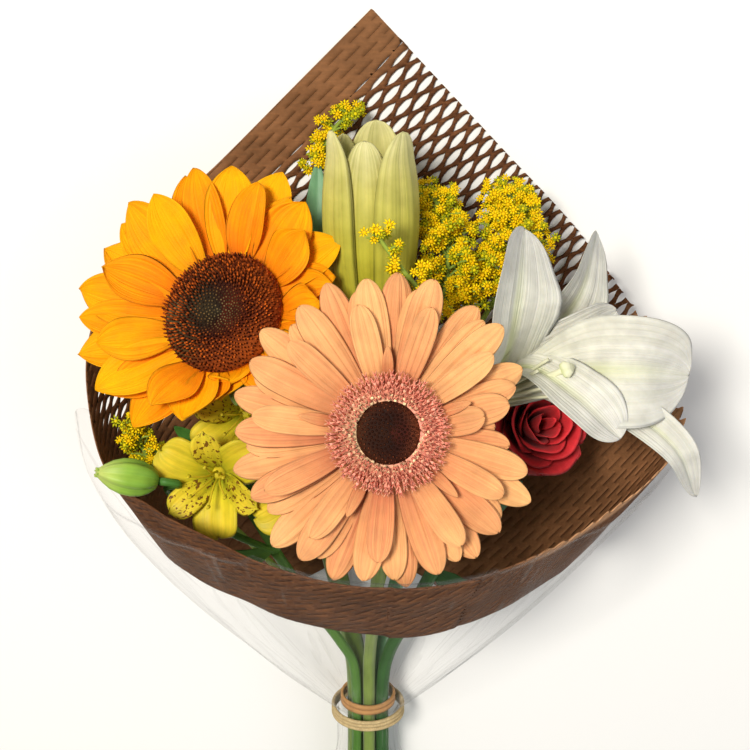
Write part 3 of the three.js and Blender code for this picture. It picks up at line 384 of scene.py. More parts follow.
def veins_group():
    """Fine streaks that run the length of a petal, leaf or stalk."""
    tree, into, out = group("veins", {"Mark": None, "Count": 12.0, "Stretch": 1.0},
                            ["Veins", "Along", "Shade"])
    along, across, shade = fit(tree, "ShaderNodeSeparateXYZ", {0: into["Mark"]}).outputs
    where = fit(tree, "ShaderNodeCombineXYZ", {0: sums(tree, "MULTIPLY", across, into["Count"]),
                                               1: sums(tree, "MULTIPLY", along, into["Stretch"]),
                                               2: sums(tree, "MULTIPLY", shade, 37.0)})
    noise = fit(tree, "ShaderNodeTexNoise", {"Vector": where.outputs[0], "Scale": 1.0, "Detail": 2.0})
    for label, value in (("Veins", span(tree, noise.outputs[0], 0.0, 1.0, 0.34, 0.66)),
                         ("Along", along), ("Shade", shade)):
        tree.links.new(value, out[label])
    return tree


MOTTLE, VEINS = mottle_group(), veins_group()


def blank_finish(name):
    """New material, its node tree and the marks of the mesh that will wear it."""
    mat = bpy.data.materials.new(name)
    mat.use_nodes = True
    mark = fit(mat.node_tree, "ShaderNodeAttribute", attribute_name="mark")
    return mat, mat.node_tree, mark.outputs["Vector"]


def patches(tree, size):
    return fit(tree, "ShaderNodeGroup", {"Size": size}, node_tree=MOTTLE).outputs[0]


def streaks(tree, mark, count, stretch):
    sockets = {"Mark": mark, "Count": count, "Stretch": stretch}
    return fit(tree, "ShaderNodeGroup", sockets, node_tree=VEINS).outputs


def dimmed(tree, colour, patch, low, high):
    """The colour made darker and lighter in patches."""
    return tint(tree, 1.0, colour, span(tree, patch, low, high), "MULTIPLY")


def lay(tree, colour, wear, rough, height, bump, depth, values):
    """Join colour, roughness and relief to the shader and set its plain values."""
    shader = tree.nodes["Principled BSDF"]
    relief = fit(tree, "ShaderNodeBump", {"Height": height, "Strength": bump, "Distance": depth}).outputs[0]
    for name, value in (("Base Color", colour), ("Roughness", span(tree, wear, *rough)), ("Normal", relief)):
        tree.links.new(value, shader.inputs[name])
    for name, value in values.items():
        shader.inputs[name].default_value = value


PETAL_SHINE = {"Specular IOR Level": 0.15}


def grown_finish(name, along, vein, vein_share, veins, stretch, rough, bump, depth=0.0004, patch=0.008,
                 light=None, tone=0.0, glow=0.0, sheen=0.0, coat=0.0):
    """Finish of a petal, leaf or stalk: a run of colours from base to tip, streaks, patches and relief."""
    mat, tree, mark = blank_finish(name)
    streak = streaks(tree, mark, veins, stretch)
    patch = patches(tree, patch)
    colour = ramp(tree, streak["Along"], along)
    colour = tint(tree, sums(tree, "MULTIPLY", streak["Veins"], vein_share), colour, vein)
    if light:
        colour = tint(tree, sums(tree, "MULTIPLY", streak["Shade"], tone), colour, light)
    values = dict(PETAL_SHINE)
    if glow:
        values |= {"Subsurface Weight": glow, "Subsurface Radius": (1.0, 0.7, 0.4),
                   "Subsurface Scale": 0.0016}
    if sheen:
        values |= {"Sheen Weight": sheen, "Sheen Roughness": 0.45}
    if coat:
        values |= {"Coat Weight": coat, "Coat Roughness": 0.35}
    lay(tree, dimmed(tree, colour, patch, 0.84, 1.08), patch, rough, streak["Veins"], bump, depth, values)
    return mat


sun_frame = bloom_frame(SUNFLOWER_AT, SUNFLOWER_FACING)
SUN_BRACTS, SUN_BRACT_TIERS = 7, 3
sun_stem = Body()
sun_stem.add(*turned([[0, -20], [6, -20], [10.5, -18.4], [15, -16], [18.6, -12.6], [21, -8 - SEAT_GAP],
                      [10, -8 - SEAT_GAP], [0, -8 - SEAT_GAP]], 36), sun_frame)
for k in range(SUN_BRACT_TIERS * SUN_BRACTS):
    tier, lot = divmod(k, SUN_BRACTS)
    theta = FULL_TURN * (lot + 0.5 + 0.3 * draw(lot, 52) + tier / SUN_BRACT_TIERS) / SUN_BRACTS
    long = 17 + 4 * draw(lot + 7 * tier, 53) - 2 * tier
    sun_stem.add(*petal(theta, 15 - 2.2 * tier, -13.5 - 1.6 * tier, long, 9.5, 8, -14 - 4 * tier, 0.7, 0.3,
                        1.3, cup=0.2, grooves=0.15, shade=draw(k, 61), rows=10, cols=7), sun_frame)
sun_route = stem_path("sunflower", spot(sun_frame, 0, 0, -18), spot(sun_frame, 0, -2, -32), (-30, 150, 36),
                      (-17, 85, 22))
sun_stem.add(*bar(sun_route, 5, 4.5, 18, 80, ribs=0.03))
rough_green = grown_finish("sunflower_green", [(0, 96, 124, 48), (1, 120, 142, 62)], (70, 96, 34), 0.5, 9, 22,
                           rough=(0.6, 0.8), bump=0.5, sheen=0.25)
sun_stem.build("sunflower_stalk", rough_green, "sunflower_stem", ["sunflower_stem"])

# Sunflower rays
# Four rows of pointed golden rays, each grooved lengthwise. They grow out of the rim of the
# head and overlap like tiles.

# Each row: count, shift, distance and height of the foot, length, width, rise at foot and tip, swing, seed
SUN_ROWS = (
    (9, 0.0, 19, -6.8, 42, 21, 4, 10, 16, 1), (9, 0.5, 20, -5.6, 39, 21, 12, 16, 18, 3),
    (9, 0.25, 22, -5.3, 32, 18, 24, 34, 26, 5), (9, 0.75, 20.5, -5.9, 37, 17, 9, 20, 20, 7),
)
SHORTER_BELOW, SHORTER_RIGHT, SHORTER_CORNER, CORNER_AT = 0.17, 0.34, 0.5, -1.19
sun_rays = Body()
for count, shift, r0, z0, length, width, el0, el1, swing, seed in SUN_ROWS:
    for k in range(count):
        a, b = draw(k, seed), draw(k, seed + 1)
        theta = FULL_TURN * (k + shift + 0.25 * (a - 0.5)) / count
        reach = 1 - SHORTER_BELOW * max(0, -math.sin(theta)) - SHORTER_RIGHT * max(0, math.cos(theta))
        reach -= SHORTER_CORNER * max(0, math.cos(theta - CORNER_AT)) ** 6
        sun_rays.add(*petal(theta, r0, z0, (length + 5 * a) * reach, width + 2 * b, el0,
                            el1 + swing * (a - 0.5), 0.42, 0.54, 2.3, cup=0.3, twist=22 * (b - 0.5),
                            bend=6 * (b - 0.5), grooves=0.3, groove_count=4, ruffle=1.7,
                            curl=44 * (b - 0.4), thick=0.7, shade=draw(k, seed + 70), rows=26, cols=17,
                            tip=0.85), sun_frame)
sun_rays.add(*turned([[0, -8], [23, -8], [24.2, -6.4], [23.4, -3.5], [12, -3.5], [0, -3.5]], 40, 0.2),
             sun_frame)
ray_gold = grown_finish("sunflower_gold", [(0, 200, 84, 0), (0.28, 242, 130, 0), (0.72, 254, 156, 0),
                                           (1, 255, 172, 0)], (218, 98, 0), 0.45, 15, 0.7,
                        light=(255, 184, 0), tone=0.6, rough=(0.6, 0.78), bump=0.6, depth=0.0005, glow=0.1)
sun_rays.build("sunflower_rays", ray_gold, "sunflower_petals", ["sunflower_petals"])

# Sunflower disc
# Over a thousand small tube florets grown on a low dome in a spiral: open and brown outside, still
# closed and grey-green in the middle.

GOLDEN_TURN = 2.399963
SUN_FLORETS = 1150


def sun_dome(x):
    return 3.4 * np.sin(np.pi * np.clip(x * 1.1 - 0.12, 0, 1)) - 1.6 * smooth(0.85, 1, x)


def dome_body(dome, radius, foot, steps, sides):
    """Low dome turned from its height at each share of the radius, on a flat foot."""
    x = np.linspace(0.02, 1, steps)
    rim = [[radius * 0.92, foot], [0, foot]]
    return turned([[0, dome(0)], *np.stack([x * radius, dome(x)], -1), *rim], sides)


def spiral(count):
    """Places on a head of florets: number, share of the radius, angle and outward direction."""
    for k in range(count):
        yield k, math.sqrt((k + 0.5) / count), k * GOLDEN_TURN, outward(k * GOLDEN_TURN)


def floret(root, lean, turn_by, radii, tall, shade, out, mark):
    """Small five-sided tube with closed ends, leaning outwards; radii from its foot to its mouth."""
    a = ring_angles(5) + turn_by
    rings = []
    for f, r in zip(np.linspace(0, 1, len(radii)), radii):
        middle = root + out * (tall * f) * math.sin(lean) + [0, 0, tall * f * math.cos(lean)]
        rings.append(middle + np.stack([r * np.cos(a), r * np.sin(a), 0 * a], -1))
    hollow = 0.15 * tall * (radii[-1] > 0.5 * max(radii))
    return tube(rings, [rings[0].mean(0), rings[-1].mean(0) - [0, 0, hollow]], shade, mark)


sun_disc = Body()
sun_disc.add(*dome_body(sun_dome, SUNFLOWER_DISC, -3.1, 16, 48), sun_frame)
for k, x, a, out in spiral(SUN_FLORETS):
    root = out * x * (SUNFLOWER_DISC - 0.5) + [0, 0, float(sun_dome(x)) - 0.3]
    open_share = float(smooth(0.36, 0.52, x))
    tall = mix(0.8, 2.6, open_share) * (0.75 + 0.5 * draw(k, 81))
    radii = [0.34, 0.42, 0.26] if open_share < 0.4 else [0.28, 0.24, 0.42, 0.16 + 0.2 * draw(k, 82)]
    lean = 0.35 * x + 0.5 * (draw(k, 83) - 0.3) * open_share
    sun_disc.add(*floret(root, lean, a, radii, tall, draw(k, 84), out, x), sun_frame)


def disc_finish(name, feet, tips, tip_from, tip_share, rough):
    """Finish of florets: one run of colours by the distance from the middle, a second at their tips."""
    mat, tree, mark = blank_finish(name)
    along, across, shade = fit(tree, "ShaderNodeSeparateXYZ", {0: mark}).outputs
    patch = patches(tree, 0.0012)
    end = span(tree, along, 0.0, tip_share, tip_from, 1.0)
    share = sums(tree, "MULTIPLY", end, shade)
    colour = tint(tree, share, ramp(tree, across, feet), ramp(tree, across, tips))
    lay(tree, dimmed(tree, colour, patch, 0.65, 1.25), patch, (rough - 0.12, rough + 0.1), patch, 0.5, 0.0003,
        {"Specular IOR Level": 0.12})
    return mat


disc_brown = disc_finish(
    "sunflower_florets",
    [(0, 46, 38, 24), (0.3, 36, 24, 14), (0.44, 44, 14, 6), (0.75, 72, 22, 6), (1, 60, 18, 6)],
    [(0, 134, 118, 80), (0.34, 112, 82, 42), (0.5, 176, 80, 22), (0.8, 216, 104, 28), (1, 156, 64, 16)],
    tip_from=0.4, tip_share=1.0, rough=0.8)
sun_disc.build("sunflower_florets", disc_brown, "sunflower_disc", ["sunflower_disc"])

# Gerbera stem and cup
# A bare, slightly furry stalk with no leaves, and a shallow green cup under the petals, edged with
# narrow bracts.

GERBERA_AT, GERBERA_FACING = (8, 184, 124), (0.03, 0.323, 0.946)
GERBERA_EYE, GERBERA_FRINGE = 11.6, 18.6
GERBERA_BRACTS = 26
ger_frame = bloom_frame(GERBERA_AT, GERBERA_FACING)
ger_stem = Body()
ger_stem.add(*turned([[0, -15], [3.4, -15], [6.4, -13.8], [9, -12], [12, -9.4], [14.5, -6.6 - SEAT_GAP],
                      [7, -6.6 - SEAT_GAP], [0, -6.6 - SEAT_GAP]], 30), ger_frame)
for k in range(GERBERA_BRACTS):
    theta = FULL_TURN * k / GERBERA_BRACTS + 0.4 * draw(k, 62)
    ger_stem.add(*petal(theta, 8, -12.6, 7.5, 2.2, 38, 26, 0.8, 0.3, 1.3, shade=draw(k, 63), rows=6, cols=5,
                        thick=0.5), ger_frame)
ger_route = stem_path("gerbera", spot(ger_frame, 0, 0, -13), spot(ger_frame, 0, -3, -28), (7, 135, 78),
                      (4, 80, 52))
ger_stem.add(*bar(ger_route, 3, 2.75, 16, 80, ribs=0.03))
pale_green = grown_finish("gerbera_green", [(0, 134, 152, 74), (1, 120, 142, 66)], (96, 120, 50), 0.5, 8, 20,
                          rough=(0.55, 0.75), bump=0.4, sheen=0.3)
ger_stem.build("gerbera_stalk", pale_green, "gerbera_stem", ["gerbera_stem"])

# Gerbera petals
# Long strap petals in four rows with round tips and shallow grooves, apricot with pinker feet, and a
# loose inner row of short pink ones.

# Each row: count, shift, height of the foot, length, width, rise at foot and tip, cup, seed
STRAP_ROWS = (
    (13, 0.0, -5.2, 42, 11.2, 7, -7, -0.16, 11), (13, 0.5, -4.4, 41, 11.2, 11, -2, -0.1, 13),
    (11, 0.2, -3.7, 34, 9.2, 18, 3, 0.18, 15), (13, 0.75, -4.9, 38, 9.8, 8, -4, -0.12, 25),
)
STRAP_GAP_AT, STRAP_GAP_SHARE = 0.05, 0.42
SHORT_STRAPS = 5
straps = Body()
for count, shift, z0, length, width, el0, el1, cup, seed in STRAP_ROWS:
    for k in range(count):
        a, b = draw(k, seed), draw(k, seed + 1)
        theta = FULL_TURN * (k + shift + 0.2 * (a - 0.5)) / count
        reach = 1 - STRAP_GAP_SHARE * max(0, math.cos(theta - STRAP_GAP_AT)) ** 40
        straps.add(*petal(theta, 12.5, z0, (length + 3.5 * a) * reach, width + 1.2 * b, el0,
                          el1 + 6 * (a - 0.5), 0.42, 0.66, 2.8, cup=cup, twist=6 + 8 * (b - 0.5),
                          bend=2.4 * (b - 0.5), grooves=0.32, groove_count=4, ruffle=0.5, notch=0.5 * b,
                          shade=draw(k, seed + 70), rows=22, cols=17), ger_frame)
for k in range(SHORT_STRAPS):
    a = draw(k, 17)
    straps.add(*petal(FULL_TURN * (k + 0.4 * a) / SHORT_STRAPS, 16.2, -2.6, 11 + 7 * a, 3.6 + 1.2 * a, 22, 14,
                      0.5, 0.5, 1.7, cup=0.3, grooves=0.15, shade=0.05, rows=14, cols=9), ger_frame)
straps.add(*turned([[0, -6.6], [15.5, -6.6], [18.4, -4.6], [18.2, -1.4], [9, -1.4], [0, -1.4]], 40, 0.0),
           ger_frame)
apricot = grown_finish("gerbera_apricot", [(0, 132, 62, 50), (0.22, 190, 110, 78), (0.5, 216, 142, 92),
                                           (1, 232, 170, 112)], (196, 108, 78), 0.55, 12, 0.5,
                       light=(250, 196, 128), tone=0.55, rough=(0.55, 0.72), bump=0.45, glow=0.1)
straps.build("gerbera_straps", apricot, "gerbera_petals", ["gerbera_petals"])

# Gerbera fringe
# Rings of tiny pink tube florets with split, curled lips. They grow on the head between the petals
# and the dark eye.

# Each ring: distance from the middle, count, lean in degrees, height
FRINGE_RINGS = ((12.0, 52, 2, 3.0), (13.2, 58, 10, 3.8), (14.6, 64, 20, 4.4), (16.0, 70, 32, 4.7),
                (17.3, 74, 44, 4.6))
fringe = Body()
fringe.add(*turned([[0, -0.9], [GERBERA_FRINGE - 1.2, -0.9], [GERBERA_FRINGE - 0.8, 0.5], [12, 1.2],
                    [0, 1.0]], 40), ger_frame)
for ring, (r, count, lean, tall) in enumerate(FRINGE_RINGS):
    for k in range(count):
        a = FULL_TURN * (k + 0.5 * (ring % 2) + 0.5 * (draw(k, 91 + ring) - 0.5)) / count
        out = outward(a)
        root = out * (r + 0.8 * (draw(k, 95 + ring) - 0.5)) + [0, 0, 0.1]
        grow = tall * (0.75 + 0.5 * draw(k, 18 + ring))
        leaning = math.radians(lean + 18 * (draw(k, 19 + ring) - 0.5))
        fringe.add(*floret(root, leaning, a, [0.4, 0.32, 0.36, 0.62], grow, draw(k, 99 + ring), out,
                           ring / 4), ger_frame)
        upright = math.radians(lean)
        tip = root + out * grow * math.sin(upright) + [0, 0, grow * math.cos(upright) - 0.3]
        for n in range(2):
            side = outward(a + (n - 0.5) * 0.9)
            lip = [tip, tip + side * 0.8 + [0, 0, 0.7],
                   tip + side * 1.8 + [0, 0, 0.6 - 0.9 * draw(k + n, 98)]]
            fringe.add(*bar(lip, 0.3, 0.12, 4, 4, shade=draw(k + n, 97)), ger_frame)
fringe_pink = disc_finish(
    "gerbera_fringe_pink", [(0, 132, 52, 44), (0.3, 200, 108, 88), (1, 238, 150, 128)],
    [(0, 255, 226, 176), (0.3, 255, 220, 172), (0.55, 248, 178, 150), (1, 246, 164, 144)],
    tip_from=0.35, tip_share=1.3, rough=0.7)
fringe.build("gerbera_fringe_florets", fringe_pink, "gerbera_fringe", ["gerbera_fringe"])

# Gerbera eye
# A dark maroon cushion of closed florets, darkest in the middle. They grow in a spiral on a low
# dome inside the fringe.

EYE_FLORETS = 210


def eye_dome(x):
    return 3.2 - x * x - 1.2 * smooth(0.8, 1, x)


eye = Body()
eye.add(*dome_body(eye_dome, GERBERA_EYE, -0.9, 12, 40), ger_frame)
for k, x, a, out in spiral(EYE_FLORETS):
    root = out * x * (GERBERA_EYE - 0.4) + [0, 0, float(eye_dome(x)) - 0.3]
    tall = 0.9 + 0.9 * x * draw(k, 85)
    eye.add(*floret(root, 0.3 * x, a, [0.42, 0.5, 0.34, 0.1], tall, draw(k, 86), out, x), ger_frame)
eye_dark = disc_finish("gerbera_eye_maroon", [(0, 44, 20, 8), (0.6, 36, 12, 5), (1, 62, 20, 10)],
                       [(0, 92, 52, 24), (0.6, 78, 34, 16), (1, 170, 96, 60)],
                       tip_from=0.5, tip_share=0.8, rough=0.75)
eye.build("gerbera_eye", eye_dark, "gerbera_disc", ["gerbera_disc"])

# Rose
# Velvety dark red petals wound round a tight heart, their lips rolled outwards. They grow from a
# green cup with five sepals, and the stem has one leaf.

ROSE_AT, ROSE_FACING, ROSE_RADIUS = (69.6, 161.2, 61), (0.18, 0.42, 0.89), 21.0
ROSE_PETALS, ROSE_SEPALS, ROSE_TURN = 17, 5, 2.4
rose_frame = bloom_frame(ROSE_AT, ROSE_FACING)


def cup_petal(theta, radius, curl, span_of, z0, height, shade, rows=18, cols=19, wall=0.7):
    """Petal that stands round the heart like part of a cup, with its lip rolled outwards."""
    h = np.linspace(0, 1, rows)[:, None]
    a = np.linspace(-1, 1, cols)[None]
    low = np.sin(np.pi / 2 * np.minimum(1, h * 1.25))
    lip = np.maximum(0, h - 0.6) / 0.4
    wave = 0.35 * np.sin(5 * a + 9 * shade) * h**3
    r = radius * (0.3 + 0.7 * low) + curl * lip**2 + wave
    angle = theta + a * span_of * (0.5 + 0.5 * np.sin(np.pi * np.minimum(1, 0.2 + 0.75 * h)))
    drop = 0.16 * a**2 * h
    z = z0 + height * (h - drop) - curl * 0.5 * np.maximum(0, (h - 0.78) / 0.22) ** 2
    body = wall / 2 * (1 - a**4) * np.sin(np.pi * np.clip(h, 0.04, 0.97)) ** 0.4
    top, under = (np.stack([rr * np.cos(angle), rr * np.sin(angle), z], -1) for rr in (r + body, r - body))
    return two_faced(top, under, h, a, shade)


rose = Body()
for k in range(ROSE_PETALS):
    f = k / (ROSE_PETALS - 1)
    rose.add(*cup_petal(k * ROSE_TURN + 0.4, mix(2.2, ROSE_RADIUS - 3.5, f**0.85), mix(0.2, 4.5, f),
                        mix(1.9, 1.0, f), mix(-15, -17, f), mix(31, 25, f * f), draw(k, 64)), rose_frame)
rose.add(*turned([[0, -19], [5, -19], [8.5, -16.5], [7, -12.5], [3, -12], [0, -12]], 24), rose_frame)
rose_red = grown_finish("rose_velvet", [(0, 164, 34, 36), (0.6, 196, 38, 44), (1, 222, 54, 62)],
                        (150, 20, 30), 0.3, 8, 1.5, light=(230, 64, 70), tone=0.3, rough=(0.6, 0.78),
                        bump=0.2, depth=0.0003, glow=0.12, sheen=0.05)
rose.build("rose_bloom", rose_red, "rose_petals", ["rose_petals"])


def swept_blade(path, face, width, base, peak, blunt, cup=0.2, wave=0.0, thick=0.8, midrib=0.0, ribs=0.0,
                rib_count=6, fray=0.0, shade=0.5, rows=30, cols=13, claw=1.0):
    """Leaf or tepal along its own curve; face says which way its upper side looks."""
    line = Path(path)
    s = 1 - (1 - np.linspace(0, 1, rows)) ** 1.35
    along = line.along(s)
    side = unit(np.cross(unit(face), along))
    up = unit(np.cross(along, side))
    half = width / 2 * outline(s, base, peak, blunt, claw=claw)
    a = np.linspace(-1, 1, cols)[None]
    lift = cup * half[:, None] * a**2 + wave * np.sin(9 * s)[:, None] * a * np.abs(a)
    lift = lift + fray * (np.abs(a) ** 3) * np.sin(31 * s + 7 * shade)[:, None]
    relief = ribs * np.cos(np.pi * rib_count * a) - midrib * np.exp(-((a / 0.14) ** 2))
    return blade(s, line.at(s), side, up, half, lift + relief * end_fade(s, 0.03), thick, shade)


rose_stem = Body()
rose_stem.add(*turned([[0, -25], [3.4, -25], [5, -22], [4.2, -19 - SEAT_GAP], [2, -19 - SEAT_GAP],
                       [0, -19 - SEAT_GAP]], 20), rose_frame)
for k in range(ROSE_SEPALS):
    rose_stem.add(*petal(FULL_TURN * k / ROSE_SEPALS + 0.3, 2.5, -22.5, 22, 6.5, 8, -24, 0.8, 0.3, 1.3,
                         cup=0.2, shade=draw(k, 65)), rose_frame)
rose_route = stem_path("rose", spot(rose_frame, 0, 0, -23), spot(rose_frame, 0, -2, -36), (38, 112, 56),
                       (20, 62, 38))
rose_stem.add(*bar(rose_route, 3, 3, 16, 80, ribs=0.02))
rose_stem.add(*swept_blade([(29, 88, 47), (42, 78, 48), (54, 78, 46), (63, 84, 42)], (0, -0.4, 1), 17, 0.15,
                           0.45, 1.7, midrib=0.6, ribs=0.12, rib_count=9, fray=0.35, shade=0.7))
deep_green = grown_finish("rose_green", [(0, 66, 104, 52), (1, 52, 94, 48)], (34, 66, 34), 0.5, 10, 3,
                          rough=(0.4, 0.6), bump=0.4, coat=0.1)
rose_stem.build("rose_stalk", deep_green, "rose_stem", ["rose_stem"])

# Lily stem and leaves
# One smooth green stalk that forks for the open lily and for the bud. Three long ribbed leaves
# grow straight from it.

LILY_AT, LILY_FACING = (35, 168, 64), (0.712, 0.486, 0.507)
BUD_AT, BUD_TIP, BUD_RADIUS = np.array([2.5, 192, 55.3]), np.array([1.5, 283, 52.3]), 19.5
LILY_LEAVES = (
    ([(2, 160, 48), (-14, 190, 42), (-20, 225, 34), (-20, 262, 24)], (0.1, 0, 1), 17),
    ([(24, 120, 36), (42, 134, 33), (58, 146, 30), (72, 154, 29)], (0, 0, 1), 16),
    ([(16, 84, 28), (34, 92, 24), (52, 102, 20), (70, 116, 17)], (0, 0, 1), 15),
)
lily_frame = bloom_frame(LILY_AT, LILY_FACING)
bud_frame = bloom_frame(BUD_AT, BUD_TIP - BUD_AT)
lily_foot, bud_foot = ([spot(place, 0, 0, -1 - SEAT_GAP), spot(place, 0, 0, -14)]
                       for place in (lily_frame, bud_frame))
lily_stem = Body()
lily_stem.add(*bar(stem_path("lily", *lily_foot, (26, 128, 37), (14, 72, 25)), 3, 4, 18, 80))
lily_stem.add(*bar([*bud_foot, (10, 142, 42), (19, 104, 31)], 3, 3, 16, 30))
for k, (path, face, width) in enumerate(LILY_LEAVES):
    lily_stem.add(*swept_blade(path, face, width, 0.3, 0.4, 1.4, cup=0.25, midrib=0.5, ribs=0.08, rib_count=8,
                               shade=draw(k, 66), rows=34))
blue_green = grown_finish("lily_green", [(0, 104, 146, 84), (1, 92, 140, 98)], (70, 118, 70), 0.5, 12, 2,
                          light=(130, 176, 140), tone=0.5, rough=(0.35, 0.5), bump=0.3, coat=0.15)
lily_stem.build("lily_stalk", blue_green, "lily_stem", ["lily_stem"])

# Open lily
# Six long waxy white tepals from one throat, each with a groove down the middle and a green streak at
# its foot; the pistil and bare filaments stand in the throat.

# Each tepal: path, the way it faces, width, width at its foot, widest place, bluntness, waist
TEPALS = (
    ([(36, 172, 67), (52, 194, 80), (56, 222, 91), (59, 246, 75)], (0.6, 0.1, 0.7), 36, 0.24, 0.64, 2.8, 1),
    ([(38, 172, 65), (60, 192, 72), (82, 216, 66), (91, 238, 47)], (0.1, -0.5, 0.8), 30, 0.24, 0.56, 1.9, 1),
    ([(39, 171, 64), (62, 189, 74), (84, 203, 76), (98, 210, 62)], (0.1, 0.2, 0.9), 26, 0.24, 0.56, 1.9, 1),
    ([(40, 169, 65), (68, 189, 78), (100, 196, 93), (123, 191, 84)], (-0.3, 0.25, 0.9),
     42, 0.12, 0.68, 2.4, 3.5),
    ([(39, 168, 65), (65, 191, 72), (94, 183, 90), (116, 168, 99), (128, 143, 90)], (0.25, 0.3, 0.9),
     16, 0.2, 0.56, 1.9, 2),
    ([(37, 169, 67), (60, 193, 79), (78, 188, 97), (94, 174, 106)], (0.2, 0.75, 0.6), 24, 0.24, 0.74, 3.2, 2),
)
FILAMENTS = 6
lily = Body()
for k, (path, face, width, base, peak, blunt, claw) in enumerate(TEPALS):
    lily.add(*swept_blade(path, face, width, base, peak, blunt, cup=0.3, wave=0.9, thick=0.9, midrib=1.1,
                          ribs=0.2, fray=0.3, shade=draw(k, 67), rows=44, cols=25, claw=claw))
lily_white = grown_finish("lily_white", [(0, 204, 212, 128), (0.14, 214, 218, 168), (0.34, 212, 211, 196),
                                         (1, 218, 216, 212)], (186, 188, 166), 0.36, 13, 0.5,
                          rough=(0.4, 0.56), bump=0.4, depth=0.0006, glow=0.12)


def overlay(mat, share, colour):
    """Lay a further colour over a finish, as much as share says at each place."""
    tree = mat.node_tree
    base = tree.nodes["Principled BSDF"].inputs["Base Color"]
    tree.links.new(tint(tree, share, base.links[0].from_socket, colour), base)


def green_midrib(mat):
    """Add a pale green-yellow line down the middle of each tepal that fades towards the tip."""
    tree = mat.node_tree
    mark = fit(tree, "ShaderNodeAttribute", attribute_name="mark").outputs["Vector"]
    along, across, _ = fit(tree, "ShaderNodeSeparateXYZ", {0: mark}).outputs
    near = span(tree, sums(tree, "ABSOLUTE", across), 0.6, 0.0, 0.04, 0.22)
    overlay(mat, sums(tree, "MULTIPLY", near, span(tree, along, 1.0, 0.12, 0.35, 0.9)), (196, 206, 124))


green_midrib(lily_white)
lily.build("lily_tepals", lily_white, "lily_bloom", ["lily_bloom"])
stigma_frame = lily_frame.copy()
stigma_frame[:3, 3] = spot(lily_frame, 2, 1, 0)
heart = Body()
heart.add(*turned([[0, -1], [4, -1], [5.4, 3], [4, 9], [2, 9.2], [0, 9]], 24), lily_frame)
heart.add(*bar([(0, 0, 4), (0.5, 0.5, 36), (2, 1, 55)], 1.4, 1.2, 10, 20), lily_frame)
heart.add(*turned([[0, 53.5], [1.6, 53.6], [2.6, 54.2], [3, 56], [1.8, 57.8], [0, 57.2]], 24, ribs=0.2,
                  rib_count=3), stigma_frame)
for k in range(FILAMENTS):
    out = outward(FULL_TURN * k / FILAMENTS + 0.3)
    filament = [out * 1.2 + [0, 0, 4], out * 3.4 + [0, 0, 30], out * 7 + [0, 0, 48 + 2 * draw(k, 68)]]
    heart.add(*bar(filament, 0.85, 0.6, 8, 16, shade=0.6), lily_frame)
heart_green = grown_finish("lily_heart_green", [(0, 190, 204, 120), (0.6, 216, 218, 184), (1, 222, 220, 196)],
                           (196, 204, 148), 0.3, 6, 2, rough=(0.3, 0.45), bump=0.15)
heart.build("lily_heart", heart_green, "lily_bloom")

# Lily bud
# A half-open bud: three outer tepals closing over three inner ones, pale yellow-green with darker
# ribs. They are joined at a small foot on their own arm of the lily's stalk.

BUD_TEPALS, BUD_ROWS, BUD_COLS = 6, 34, 17
bud_long = float(np.linalg.norm(BUD_TIP - BUD_AT))


def bud_radius(h):
    return BUD_RADIUS * (0.24 + 0.76 * np.sin(np.pi * (0.02 + 0.74 * h)) ** 0.8) - 1.5 * h


bud = Body()
h = 1 - (1 - np.linspace(0, 1, BUD_ROWS)) ** 1.3
x = np.linspace(-1, 1, BUD_COLS)[None]
for k in range(BUD_TEPALS):
    inner = k % 2
    a0 = math.pi * k / 3 + 0.05
    span_of = 0.75 if inner else 0.85
    tall = bud_long * (0.93 if inner else 1.0 - 0.05 * draw(k, 21))
    r = bud_radius(h) - (2.0 if inner else 0.0) + 1.5 * smooth(0.86, 1, h)
    out, side = (np.tile(outward(a), (BUD_ROWS, 1)) for a in (a0, a0 + math.pi / 2))
    half = np.minimum(np.maximum(0.3, r * math.sin(span_of)) * np.maximum(0, 1 - h**8) ** 0.5, r * 0.9)
    centre = out * r[:, None] + np.array([0, 0, 1.0]) * (tall * h)[:, None]
    sag = (half[:, None] * x) ** 2
    lift = -sag / (r[:, None] + np.sqrt(np.maximum(1, (r * r)[:, None] - sag)))
    lift = lift + (0.8 * np.exp(-((x / 0.2) ** 2)) + 0.16 * np.cos(7 * np.pi * x)) * end_fade(h, 0.03)
    bud.add(*blade(h, centre, side, out, half, lift, 1.1, draw(k, 69)), bud_frame)
bud.add(*turned([[0, -1], [4.6, -1], [7.2, 3], [5, 9], [2, 9.2], [0, 9]], 30), bud_frame)
# Dark olive at the foot to pale at the tip: partly the bud's own colour, partly a painted highlight towards
# the tip.
bud_pale = grown_finish("lily_bud_pale", [(0, 120, 130, 10), (0.3, 168, 162, 22), (0.55, 182, 176, 58),
                                          (0.8, 194, 186, 104), (1, 216, 210, 156)], (130, 134, 26), 0.42, 9,
                        0.45, light=(206, 198, 124), tone=0.3, rough=(0.4, 0.56), bump=0.35, depth=0.0005,
                        glow=0.08)
bud.build("lily_bud", bud_pale, "lily_bud", ["lily_bud_tepals"])

# Alstroemeria flowers
# Three open yellow-green flowers. Each has three broad notched tepals and three narrow ones with
# short brown dashes, grown on a small ribbed ovary, and six curved stamens.

# Each flower: name, place, the way it faces, size, seed
ALSTROEMERIA = (
    ("1", (-48.7, 169.9, 78.4), (0, 0.15, 0.98), 20, 31),
    ("2", (-60.3, 150.8, 96.4), (-0.15, 0.1, 0.97), 20.4, 32),
    ("3", (-23, 147, 100.6), (0, -0.05, 0.99), 20, 33),
)


